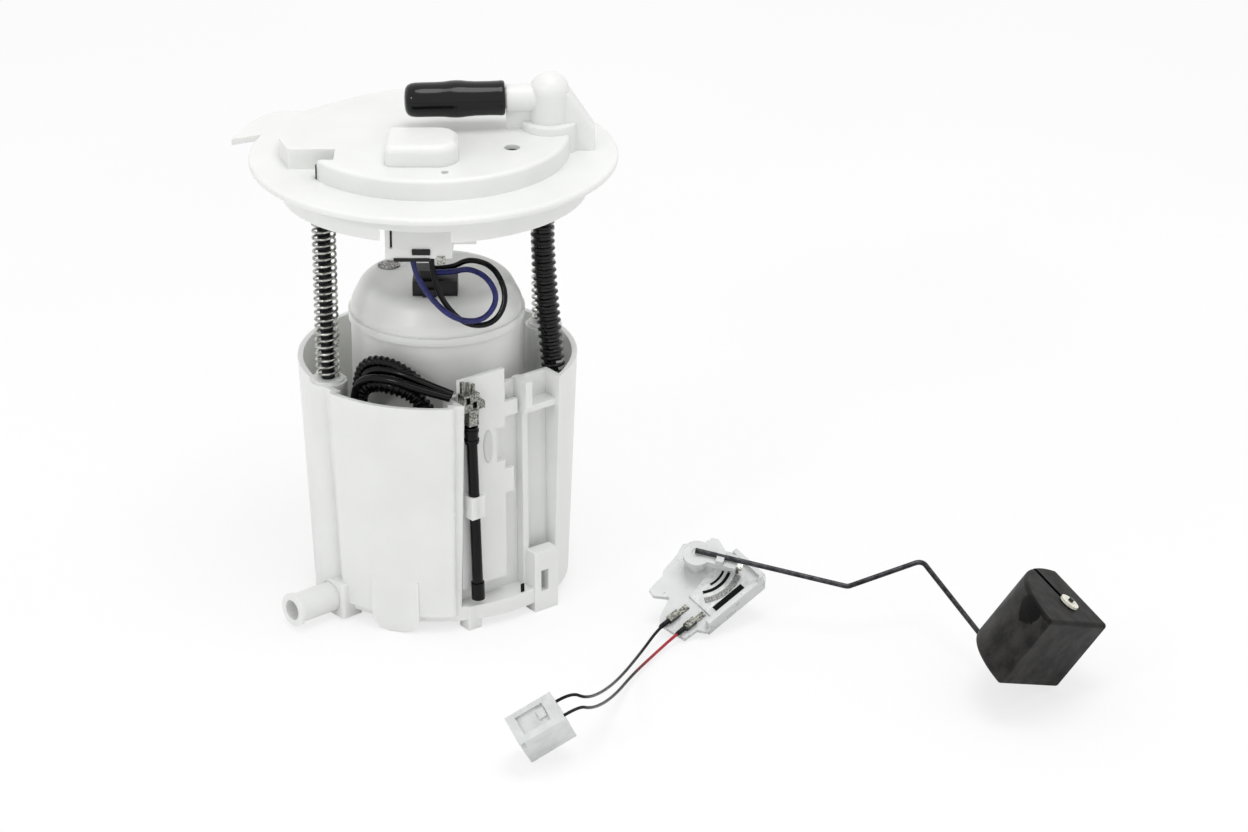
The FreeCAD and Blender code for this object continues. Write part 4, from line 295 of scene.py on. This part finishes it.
NODE_FINISH = {
    acetal: ["flange_cover", "connector_shroud", "reservoir_bucket", "sender_bracket", "jet_pump"],
    milky_nylon: ["filter_housing", "filter_cap"],
    clear_polypropylene: ["sender_housing", "arm_holder", "jet_nozzle", "valve_stop"],
    filled_nylon: ["pump_plug", "lead_plug", "lock_strip", "pump_end_cap", "check_valve"],
    shrink_sleeve: ["temperature_sensor", "harness_loom"],
    hose_nylon: ["corrugated_hose"],
    lead_black: ["pump_lead_black", "sender_lead_black"],
    lead_blue: ["pump_lead_blue"],
    lead_red: ["sender_lead_red"],
    plug_nylon: ["sender_plug"],
    alumina: ["resistor_card"],
    resistor_ink: ["resistor_tracks"],
    carbon_film: ["resistor_film"],
    retainer_nylon: ["float_retainer"],
    filter_paper: ["filter_element"],
    strainer_cloth: ["inlet_strainer"],
    nitrile: ["filter_seal", "inlet_valve"],
    ferrite: ["motor_magnets", "carbon_brushes", "shaft_bushes"],
    phenolic: ["impeller"],
    spring_steel: ["strut_spring_left", "strut_spring_right", "check_spring", "regulator_spring",
                   "rod_clips"],
    rod_steel: ["guide_rod_left", "guide_rod_right"],
    arm_steel: ["float_arm"],
    shell_steel: ["pump_shell", "regulator_can", "regulator_plunger"],
    cast_aluminium: ["pump_inlet_cover", "pump_channel_plate"],
    tinned_brass: ["flange_terminals", "sensor_terminal", "wiper_contacts"],
    crimped_bronze_painted_shade: ["sender_terminals"],
    copper_winding: ["armature"],
    nitrile_foam: ["float"],
}
for finish, nodes in NODE_FINISH.items():
    for node in nodes:
        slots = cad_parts[node].data.materials
        slots.clear()
        slots.append(finish)


# Modelling

WIRE_SIDES = 10
STEPS_PER_TURN = 28


def settle(piece, finish, body, *nodes, slot=None):
    """Bakes a piece's place into its mesh, gives it its finish and ties it to a body."""
    bpy.ops.object.select_all(action="DESELECT")
    piece.select_set(True)
    bpy.context.view_layer.objects.active = piece
    bpy.ops.object.transform_apply(location=True, rotation=True, scale=True)
    piece.data.materials.clear()
    piece.data.materials.append(finish)
    if body:
        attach(piece, body)
    if nodes:
        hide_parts(*nodes)
    return piece


def apply_modifiers(piece):
    """Turns a piece's modifiers into its mesh."""
    bpy.context.view_layer.objects.active = piece
    for modifier in list(piece.modifiers):
        bpy.ops.object.modifier_apply(modifier=modifier.name)


def block(name, low, high, finish, body, slot, turn=0.0):
    """A box with softened edges from corner to corner, in millimetres, turned about Z."""
    low, high = Vector(low), Vector(high)
    bpy.ops.mesh.primitive_cube_add(size=1, location=(low + high) / 2 * MM)
    form = bpy.context.active_object
    form.name = name
    form.scale = (high - low) * MM
    bpy.ops.object.transform_apply(location=True, scale=True)
    soft = form.modifiers.new("soft_edges", "BEVEL")
    soft.width = min(high - low) * 0.2 * MM
    soft.segments = 2
    apply_modifiers(form)
    form.rotation_euler = (0, 0, turn)
    return settle(form, finish, body, slot=slot)


def disc(name, centre, radius, thickness, finish, body, slot):
    """A flat disc with a softened rim, its lower face on the centre."""
    form = lathed(name, [(0, radius * MM), (0.7 * thickness * MM, radius * MM),
                         (thickness * MM, (radius - 0.3 * thickness) * MM)])
    form.location = Vector(centre) * MM
    return settle(form, finish, body, slot=slot)


def wire_coil(name, foot, top, radius, wire, turns):
    """A round wire wound from its foot up: a ring of the wire swept by a Screw, its ends closed."""
    bpy.ops.mesh.primitive_circle_add(vertices=WIRE_SIDES, radius=wire / 2, location=(radius, 0, 0),
                                      rotation=(math.pi / 2, 0, 0))
    coil = bpy.context.active_object
    coil.name = name
    bpy.ops.object.transform_apply(location=True, rotation=True, scale=True)
    sweep = coil.modifiers.new("winding", "SCREW")
    sweep.axis = "Z"
    sweep.screw_offset = (top - foot.z - wire) / turns
    sweep.iterations = turns
    sweep.steps = sweep.render_steps = STEPS_PER_TURN
    sweep.use_smooth_shade = True
    apply_modifiers(coil)
    bpy.ops.object.mode_set(mode="EDIT")
    bpy.ops.mesh.select_all(action="SELECT")
    bpy.ops.mesh.fill_holes(sides=0)
    bpy.ops.mesh.normals_make_consistent(inside=False)
    bpy.ops.object.mode_set(mode="OBJECT")
    coil.location = foot + Vector((0, 0, wire / 2))
    return coil


def lathed(name, profile, around=32, smooth=40):
    """A closed round form about Z: a disc extruded from level to level, each (level, radius)."""
    level, radius = profile[0]
    bpy.ops.object.select_all(action="DESELECT")
    bpy.ops.mesh.primitive_circle_add(vertices=around, radius=radius, location=(0, 0, level),
                                      fill_type="NGON")
    form = bpy.context.active_object
    form.name = name
    bpy.ops.object.transform_apply(location=True)
    bpy.ops.object.mode_set(mode="EDIT")
    bpy.ops.mesh.select_all(action="SELECT")
    for height, reach in profile[1:]:
        bpy.ops.mesh.extrude_region_move(TRANSFORM_OT_translate={"value": (0, 0, height - level)})
        bpy.ops.transform.resize(value=(reach / radius,) * 2 + (1,), center_override=(0, 0, height))
        level, radius = height, reach
    bpy.ops.mesh.select_all(action="SELECT")
    bpy.ops.mesh.normals_make_consistent(inside=False)
    bpy.ops.object.mode_set(mode="OBJECT")
    bpy.ops.object.shade_smooth_by_angle(angle=math.radians(smooth))
    return form


def ribs(length, outer, groove, count):
    """The crests and grooves of a corrugated tube as (level, radius) steps."""
    pitch = length / count
    shoulder = outer - 0.15 * MM
    rib_section = ((0.18, groove), (0.34, shoulder), (0.5, outer), (0.66, shoulder), (0.82, groove))
    steps = [(0.0, groove)]
    for rib in range(count):
        for share, reach in rib_section:
            steps.append(((rib + share) * pitch, reach))
    return steps + [(length, groove)]


def stand_along(form, start, end):
    """Stands a lathed form on a line."""
    turn = (end - start).to_track_quat("Z", "Y").to_matrix().to_4x4()
    form.matrix_world = Matrix.Translation(start) @ turn
    return form


def smooth_line(name, points, radius):
    """A NURBS curve with the route's points, given a round section."""
    curve = bpy.data.curves.new(name, "CURVE")
    curve.dimensions = "3D"
    spline = curve.splines.new("NURBS")
    spline.points.add(len(points) - 1)
    for place, point in zip(spline.points, points):
        place.co = [number * MM for number in point] + [1]
    spline.order_u = 3
    spline.use_endpoint_u = True
    spline.resolution_u = 10
    curve.bevel_depth = radius
    curve.bevel_resolution = 4
    curve.use_fill_caps = True
    line = bpy.data.objects.new(name, curve)
    bpy.context.collection.objects.link(line)
    return line


def centre_line(line):
    """The points of a curve's own line, read from it with no section, and their whole length."""
    depth = line.data.bevel_depth
    line.data.bevel_depth = 0
    bpy.context.view_layer.update()
    mesh = bpy.data.meshes.new_from_object(line)
    line.data.bevel_depth = depth
    path = [vertex.co.copy() for vertex in mesh.vertices]
    return path, sum((b - a).length for a, b in zip(path, path[1:]))


def meshed(line):
    """The curve's tube as a mesh object of the same name."""
    bpy.context.view_layer.update()
    mesh = bpy.data.meshes.new_from_object(line)
    name = line.name
    bpy.data.objects.remove(line)
    piece = bpy.data.objects.new(name, mesh)
    bpy.context.collection.objects.link(piece)
    for face in mesh.polygons:
        face.use_smooth = True
    return piece


def ribbed_along(name, points, outer, groove, pitch):
    """A corrugated tube bent along a route, sizes in millimetres."""
    line = smooth_line(name + "_line", points, 0)
    _, length = centre_line(line)
    tube = lathed(name, ribs(length, outer * MM, groove * MM, round(length / (pitch * MM))), around=24,
                  smooth=50)
    bend = tube.modifiers.new("bend", "CURVE")
    bend.object = line
    bend.deform_axis = "POS_Z"
    apply_modifiers(tube)
    bpy.data.objects.remove(line)
    return tube


# Routes and radii of the leads, in millimetres

PUMP_LEAD_RADIUS = 1.1
SENDER_LEAD_RADIUS = 0.6

PUMP_BLACK = [
    (-0.3, -30, 150), (-0.3, -30, 141.5), (3.5, -34, 131), (12.5, -37, 122), (23.5, -36.5, 122.5),
    (28.5, -33, 132), (23.5, -25.5, 141.5), (13.5, -17, 141.5), (6.5, -13.4, 135.9), (0, -13.4, 135.9),
]
PUMP_BLUE = [
    (-7.4, -30, 150), (-7.4, -30, 142.5), (-0.5, -36, 132.5), (9, -40, 125.5), (19.5, -39.5, 125),
    (25, -35, 132), (21, -29, 138.5), (13.5, -22, 139.5), (6.5, -17.6, 135.9), (0, -17.6, 135.9),
]
SENDER_BLACK = [
    (89, -55, 6.8), (85.2, -57.9, 4.9), (79.34, -72.02, 3.2), (71, -102.23, 7.5),
    (64.43, -130.21, 16), (58.41, -151.81, 24.8), (53.17, -152.49, 27.62), (47.58, -153.99, 24.66),
]
SENDER_RED = [
    (95.2, -57.6, 5), (91.2, -60.8, 3.1), (86.2, -67.5, 1.6), (75.51, -90.1, 2.4),
    (69.53, -114.39, 7.2), (64.45, -135.78, 14), (59.83, -151.41, 20.5), (56.08, -156.89, 24.36),
    (50.49, -158.4, 21.4),
]


def pump_lead(name, points, finish):
    """A lead between the flange and the pump plug."""
    line = smooth_line(name, points, PUMP_LEAD_RADIUS * MM)
    path, length = centre_line(line)
    piece = settle(meshed(line), finish, None)
    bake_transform(piece)
    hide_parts(name.removesuffix("_smooth"))


def sender_lead(name, points, finish):
    """A thin lead from the sender's terminals to its plug."""
    line = smooth_line(name, points, SENDER_LEAD_RADIUS * MM)
    _, length = centre_line(line)
    line.data.materials.append(finish)
    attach(line, "module")
    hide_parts(name.removesuffix("_smooth"))


pump_lead("pump_lead_black_smooth", PUMP_BLACK, lead_black)
pump_lead("pump_lead_blue_smooth", PUMP_BLUE, lead_blue)
sender_lead("sender_lead_black_smooth", SENDER_BLACK, lead_black)
sender_lead("sender_lead_red_smooth", SENDER_RED, lead_red)

# Strut springs, round wire

STRUT_X, STRUT_Y = 40.5, 27.5
COIL_FOOT, COIL_TOP = 97.2, 169.8
COIL_RADIUS, COIL_WIRE, COIL_TURNS = 4.2, 1.0, 26
for side, sign in (("left", -1), ("right", 1)):
    coil = wire_coil(f"strut_coil_{side}", Vector((sign * STRUT_X, sign * STRUT_Y, COIL_FOOT)) * MM,
                     COIL_TOP * MM, COIL_RADIUS * MM, COIL_WIRE * MM, COIL_TURNS)
    settle(coil, spring_steel, None)
    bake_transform(coil)
    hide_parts(f"strut_spring_{side}")

# Springs of the check valve and the regulator

VALVE_COILS = {    # the valve, the coil's foot, its top, radius, wire and turns
    "check_spring": ("check_valve", (9, 0, 85.2), 90.8, 1.75, 0.4, 4),
    "regulator_spring": ("regulator_plunger", (0, 41, 56.8), 72.8, 4.2, 0.9, 6),
}
for name, (valve, foot, top, radius, wire, turns) in VALVE_COILS.items():
    foot = Vector(foot) * MM
    coil = wire_coil(name + "_coil", foot, top * MM, radius * MM, wire * MM, turns)
    settle(coil, spring_steel, None)
    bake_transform(coil)
    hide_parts(name)

# Corrugated hose from the canister up to the elbow

HOSE_ROUTE = [(45.3, -6.5, 86), (43.6, -3.5, 106), (41.4, 0, 130), (40.6, 3.4, 152), (42.6, 4.9, 166),
              (43, 5, 173.6)]
HOSE_CREST, HOSE_GROOVE, HOSE_PITCH = 4.7, 3.7, 2.9
hose = ribbed_along("ribbed_hose", HOSE_ROUTE, HOSE_CREST, HOSE_GROOVE, HOSE_PITCH)
settle(hose, hose_nylon, None)
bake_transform(hose)
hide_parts("corrugated_hose")

# Dipped cap over the outlet pipe: its bore, a drip lip, a swelling over the pipe's bead, a domed end

OUTLET_TURN = math.radians(4)
OUTLET_START = Vector((44, 6, 198)) * MM
OUTLET_LINE = Vector((-math.cos(OUTLET_TURN), -math.sin(OUTLET_TURN), 0))
CAP_PROFILE = [    # distance along the pipe and radius, in millimetres
    (51.4, 4.9), (17.2, 4.9), (17.0, 5.9), (17.3, 6.5), (18.2, 6.72), (19.4, 6.6), (23.0, 6.5),
    (28.0, 6.55), (31.0, 6.75), (33.4, 7.05), (35.4, 7.12), (37.6, 7.0), (40.0, 6.7), (43.0, 6.6),
    (48.0, 6.6), (50.8, 6.55), (52.4, 6.3), (53.6, 5.7), (54.4, 4.7), (54.8, 3.2), (54.95, 1.6),
    (55.0, 0.05),
]
cap = lathed("dipped_cap", [(level * MM, reach * MM) for level, reach in CAP_PROFILE], around=48,
             smooth=60)
stand_along(cap, OUTLET_START, OUTLET_START + OUTLET_LINE)
settle(cap, dipped_vinyl, "outlet_cap", "outlet_cap", slot="black_plastic")

# Loom between the bucket and the sensor's terminal: two corrugated sleeves under two smooth leads

LOOM_PITCH = 2.3
LOOM_LEAD_RADIUS = 1.6
LOOM_SLEEVES = {    # the route, the radius of the crests and of the grooves
    "loom_sleeve_front": ([(-29, -32, 78), (-29.5, -32.5, 91), (-24.5, -37.5, 99.5), (-13, -42, 99),
                           (-5, -43, 95), (-1, -42.6, 87)], 3.3, 2.5),
    "loom_sleeve_rear": ([(-30, -28, 80), (-29.5, -28.5, 97), (-25, -32.5, 106), (-16, -37, 107),
                          (-8, -41, 103.5), (-2, -43.5, 99)], 2.4, 1.9),
}
for name, (points, outer, groove) in LOOM_SLEEVES.items():
    sleeve = ribbed_along(name, points, outer, groove, LOOM_PITCH)
    settle(sleeve, shrink_sleeve, "module", slot="sheath_black")
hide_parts("harness_loom")
LOOM_LEADS = {
    "loom_lead_front": [(-30.8, -35, 80), (-30.8, -35.4, 93), (-26.5, -40, 102.5), (-14.5, -45, 103.4),
                        (-3.5, -48, 100.2), (6.8, -49, 97.7)],
    "loom_lead_rear": [(-28, -31, 80), (-28, -31.5, 96), (-24, -36.4, 104.4), (-12.5, -41.6, 105),
                       (-2, -45.2, 101.4), (7.6, -46.4, 97.8)],
}
for name, points in LOOM_LEADS.items():
    lead = meshed(smooth_line(name, points, LOOM_LEAD_RADIUS * MM))
    settle(lead, lead_black, "module", slot="wire_black")

# Vent gauze on the canister, and black discs of painted shade deep in the breather hole and the pin hole
# of the plateau: centre, radius, thickness

disc("canister_vent", (-18.5, 9, 127.9), 4.4, 0.5, vent_gauze, "module", "spring_steel")
disc("breather_hole_shade", (30.2, -16.5, 184), 2.9, 0.4, nitrile, "flange", "black_plastic")
disc("pin_hole_shade", (6, -42.5, 182.2), 1.4, 0.3, nitrile, "flange", "black_plastic")

# Lock of the lead socket and its spring clip; a black strip under the socket's bottom edge is painted
# shadow

block("lock_bar", (-7, -39.2, 151.5), (-0.2, -38.3, 153.8), filled_nylon, "flange", "black_plastic")
block("socket_edge_shadow", (-14, -39, 148.8), (-0.2, -34, 150.2), filled_nylon, "flange", "black_plastic")
block("lock_clip", (2.2, -38.9, 147.6), (5.4, -37.4, 151), tinned_brass, "flange", "tinned_contact")

# Black plates of painted shade in the sensor's terminal windows and in a dark spot at the bay's foot,
# given in the bay's directions

BAY_TURN = -math.radians(52.3)
WINDOW_WIDTH, WINDOW_HEIGHT = 1.7, 2.4
WINDOW_BACK, WINDOW_FACE = 47.1, 47.4
for name, side, bottom in (("terminal_window_shade_high", -21.2, 96), ("terminal_window_shade_low", -18.2, 93.7)):
    block(name, (WINDOW_BACK, side, bottom), (WINDOW_FACE, side + WINDOW_WIDTH, bottom + WINDOW_HEIGHT),
          nitrile, "module", "black_plastic", BAY_TURN)
block("bay_foot_shade", (48.3, 3.2, 9.9), (48.9, 4.7, 13.4), nitrile, "module", "black_plastic", BAY_TURN)

# Faint oval raised on the bracket's panel

OVAL_CENTRE = Vector((20.42, -40.46, 73.8)) * MM
OVAL_STRETCH = 3.1
BAY_OUTWARD = Vector((math.cos(BAY_TURN), math.sin(BAY_TURN), 0))
oval = lathed("bracket_oval", [(0, 2.2 * MM), (0.3 * MM, 1.9 * MM)])
oval.scale = (1, OVAL_STRETCH, 1)
bpy.ops.object.transform_apply(scale=True)
stand_along(oval, OVAL_CENTRE, OVAL_CENTRE + BAY_OUTWARD)
settle(oval, acetal, "module", slot="natural_acetal")

# Boots on the ends of the sender's leads

BOOT_PROFILE = [(0, 1.0 * MM), (3.6 * MM, 0.95 * MM), (4.4 * MM, 0.65 * MM)]
for name, points in (("boot_black", SENDER_BLACK), ("boot_red", SENDER_RED)):
    start, toward = Vector(points[0]) * MM, Vector(points[1]) * MM
    boot = lathed(name, BOOT_PROFILE, around=20)
    settle(stand_along(boot, start, toward), shrink_sleeve, "module", slot="sheath_black")


# Studio

FLOOR_LEVEL = -0.0002         # just under the part's feet, in metres
PAPER_GLOW = 0.72             # how far the paper is plain white to the camera
SKY_ON_SURFACES = 0.78        # the sky's strength for what it lights, 1 where it is seen


def soft_lamp(name, place, aim, size, power):
    """A round area lamp of a size in metres and a power in watts, aimed at a point."""
    lamp = bpy.data.lights.new(name, "AREA")
    lamp.shape = "DISK"
    lamp.size = size
    lamp.energy = power
    holder = bpy.data.objects.new(name, lamp)
    holder.location = place
    holder.rotation_euler = (Vector(aim) - Vector(place)).to_track_quat("-Z", "Y").to_euler()
    bpy.context.collection.objects.link(holder)


def studio():
    """A white sweep, a broad lamp overhead and a weaker one at the left."""
    bpy.ops.mesh.primitive_plane_add(size=12, location=(0, 0, FLOOR_LEVEL))
    floor = bpy.context.active_object
    floor.name = "studio_floor"
    material, tree, place = finish_of("white_paper_sweep")
    colour, _ = mottled(tree, place, 400, linear("#F4F4F4"), linear("#FAFAFA"))
    paper = add(tree, "ShaderNodeBsdfDiffuse", Color=colour)
    white = add(tree, "ShaderNodeEmission", Color=(1, 1, 1, 1), Strength=1.0)
    camera_ray = add(tree, "ShaderNodeLightPath").outputs["Is Camera Ray"]
    share = add(tree, "ShaderNodeMath", {"operation": "MULTIPLY"}, _0=camera_ray, _1=PAPER_GLOW)
    mixed = add(tree, "ShaderNodeMixShader", Fac=share.outputs[0], _1=paper.outputs[0],
                _2=white.outputs[0])
    close(tree, mixed)
    floor.data.materials.append(material)
    soft_lamp("overhead", place=(0.2, -0.25, 1.5), aim=(0.08, -0.03, 0.05), size=0.8, power=6.5)
    soft_lamp("left_fill", place=(-0.9, -1.2, 1.0), aim=(0, 0, 0.1), size=0.2, power=3)
    world = bpy.data.worlds.new("studio_world")
    bpy.context.scene.world = world
    world.use_nodes = True
    tree = world.node_tree
    tree.nodes.clear()
    rays = add(tree, "ShaderNodeLightPath")
    seen = add(tree, "ShaderNodeMath", {"operation": "MAXIMUM"}, _0=rays.outputs["Is Camera Ray"],
               _1=rays.outputs["Is Glossy Ray"])
    seen = add(tree, "ShaderNodeMath", {"operation": "MAXIMUM"}, _0=seen.outputs[0],
               _1=rays.outputs["Is Transmission Ray"])
    strength = add(tree, "ShaderNodeMapRange", Value=seen.outputs[0], To_Min=SKY_ON_SURFACES,
                   To_Max=1.0)
    sky = add(tree, "ShaderNodeBackground", Color=(1, 1, 1, 1), Strength=strength.outputs[0])
    add(tree, "ShaderNodeOutputWorld", Surface=sky.outputs[0])


studio()

# Camera of the photograph: about 1.6 m away, tipped 24 degrees down

camera = bpy.data.objects.new("camera", bpy.data.cameras.new("camera"))
camera.data.sensor_width = 36
camera.data.lens = 121.85
camera.location = (0.0721, -1.5006, 0.7421)
camera.rotation_euler = Euler((math.radians(65.82), 0, 0))
bpy.context.collection.objects.link(camera)
bpy.context.scene.camera = camera
bpy.context.scene.view_settings.view_transform = "Standard"
